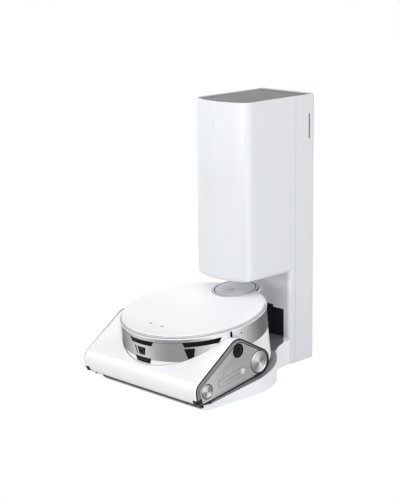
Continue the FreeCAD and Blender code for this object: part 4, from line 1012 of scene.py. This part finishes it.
# ---------------------------------------------------------------- the whole scene
# Stretches that draw the grain of brushed metal out along one axis, apart from the even one
ALONG_LID = (1.0, 0.03, 1.0)
ALONG_SIDE = (1.0, 0.05, 1.0)
ALONG_PIN = (0.05, 1.0, 1.0)
UPRIGHT = (1.0, 1.0, 0.1)
EVEN = (1.0, 1.0, 1.0)
finishes = {
    "tower": tower_white(),
    "base": base_white(),
    "robot": robot_white("robot_white", (0.81, 0.815, 0.822)),
    "rim": robot_white("rim_white", (0.8, 0.806, 0.813)),
    "band": silver_band(),
    "lid": brushed("lid_metal", ALONG_LID, "X", LID_SHEEN, 0.34, rim=0.62),
    "rim_metal": brushed("rim_metal", ALONG_SIDE, "Y", RIM_SHEEN, metal_from=157.2),
    "rim_face": brushed("rim_face_metal", ALONG_SIDE, "Y", RIM_FACE_SHEEN),
    "panel": brushed("panel_metal", ALONG_SIDE, "Y", PANEL_SHEEN, 0.34, metal_from=156.3),
    "caps": spun("cap_metal", "YZ", CAP_SHEEN, FRONT_CAP, REAR_CAP, -60.0),
    "turret_cap": spun("turret_metal", "XY", TURRET_SHEEN, TURRET, rough=0.34, metallic=0.15),
    "window": dark_pane("dark_window", (0.0035, 0.0037, 0.0045), 0.12),
    "dock": dark_pane("dock_panel_black", (0.009, 0.0095, 0.012), 0.3, 115.2),
    "black": moulded("black_moulding", (0.016, 0.016, 0.018), 0.5, 0.00004),
    "grey": moulded("grey_moulding", (0.2, 0.205, 0.215), 0.45, 0.00004),
    "rubber": rubber("black_rubber", (0.014, 0.014, 0.015)),
    "grey_rubber": rubber("grey_rubber", (0.25, 0.255, 0.265)),
    "motor": moulded("motor_black", (0.03, 0.03, 0.032), 0.55, 0.00005),
    "board": circuit_board("circuit_board", (0.01, 0.07, 0.03)),
    "fleece": fleece("bag_fleece", (0.78, 0.76, 0.72)),
    "filter": fleece("filter_fleece", (0.74, 0.74, 0.73)),
    # Painted sheens on the contacts and the hinge pin, and a painted highlight on the button below.
    "contact": brushed("contact_metal", UPRIGHT, "X", [(-60, 200), (60, 190)]),
    "steel": brushed("pin_steel", ALONG_PIN, "X", [(-60, 165), (60, 170)]),
    "light_pipe": moulded("light_pipe", (0.62, 0.635, 0.655), 0.25),
    "gasket": rubber("gasket_black", (0.005, 0.005, 0.0055), 0.5, 0.06),
    "seam": rubber("seam_grey", (0.16, 0.162, 0.166), 0.5),
    "lens": dark_pane("lens_glass", (0.004, 0.0042, 0.006), 0.08),
    "smoked": dark_pane("smoked_pane", (0.022, 0.023, 0.026), 0.16),
    "button": brushed("button_metal", EVEN, "Y", [(-42, 205), (-30, 235)]),
    "mark": moulded("mark_grey", (0.2, 0.2, 0.205), 0.4),
    "bristle": moulded("bristle_black", (0.02, 0.02, 0.021), 0.5),
    "card": moulded("collar_card", (0.62, 0.56, 0.46), 0.8, 0.00006),
}
dress_nodes(finishes, {
    "tower": "front_housing rear_housing",
    "base": "base_shell",
    "robot": "top_cover front_shell rear_shell bumper_carrier",
    "rim": "top_rim",
    "band": "bumper_band rear_band",
    "lid": "lid hinge_cover",
    "rim_metal": "side_rims",
    "panel": "side_panels",
    "caps": "hub_caps",
    "turret_cap": "turret_cap",
    "window": "bumper_windows turret_window side_sensors",
    "dock": "docking_panel",
    "black": "chassis frame_ring turret_housing turret_rotor brush_tunnel rear_port "
             "wheel_arm_left wheel_arm_right power_inlet caster_wheel",
    "grey": "base_plate suction_duct bag_shelf dust_bin caster_fork brush_core "
            "drive_wheel_left drive_wheel_right",
    "rubber": "base_feet port_seal nose_guides brush_blades port_flap "
              "corner_roller_left corner_roller_right tyre_left tyre_right",
    "grey_rubber": "ramp_treads",
    "motor": "station_fan battery suction_fan",
    "board": "station_board main_board",
    "fleece": "dust_bag",
    "filter": "exhaust_filter",
    "contact": "contact_pin_left contact_pin_right charge_plates",
    "steel": "hinge_pin",
    "light_pipe": "status_light",
})
for side, name in ((-1, "left"), (1, "right")):
    edge_strips(side, name, finishes)
    port_fittings(side, name, finishes)
    cap_collars(side, name, finishes["gasket"])
    capsule(side, name, finishes)
    panel_seams(side, name, finishes["seam"])
    sound_hole(side, name, finishes["gasket"])
camera_eye(finishes)
slot_slats(finishes["smoked"])
bumper_stops(finishes["gasket"])
touch_marks(finishes["mark"])
top_seams(finishes["seam"])
turret_trim(finishes["turret_cap"])
brush_bristles(finishes["bristle"])
corner_tufts(finishes["bristle"])
dust_bag(finishes)
aim_camera()
light_studio()
lay_floor()
bpy.context.scene.view_settings.view_transform = "Standard"
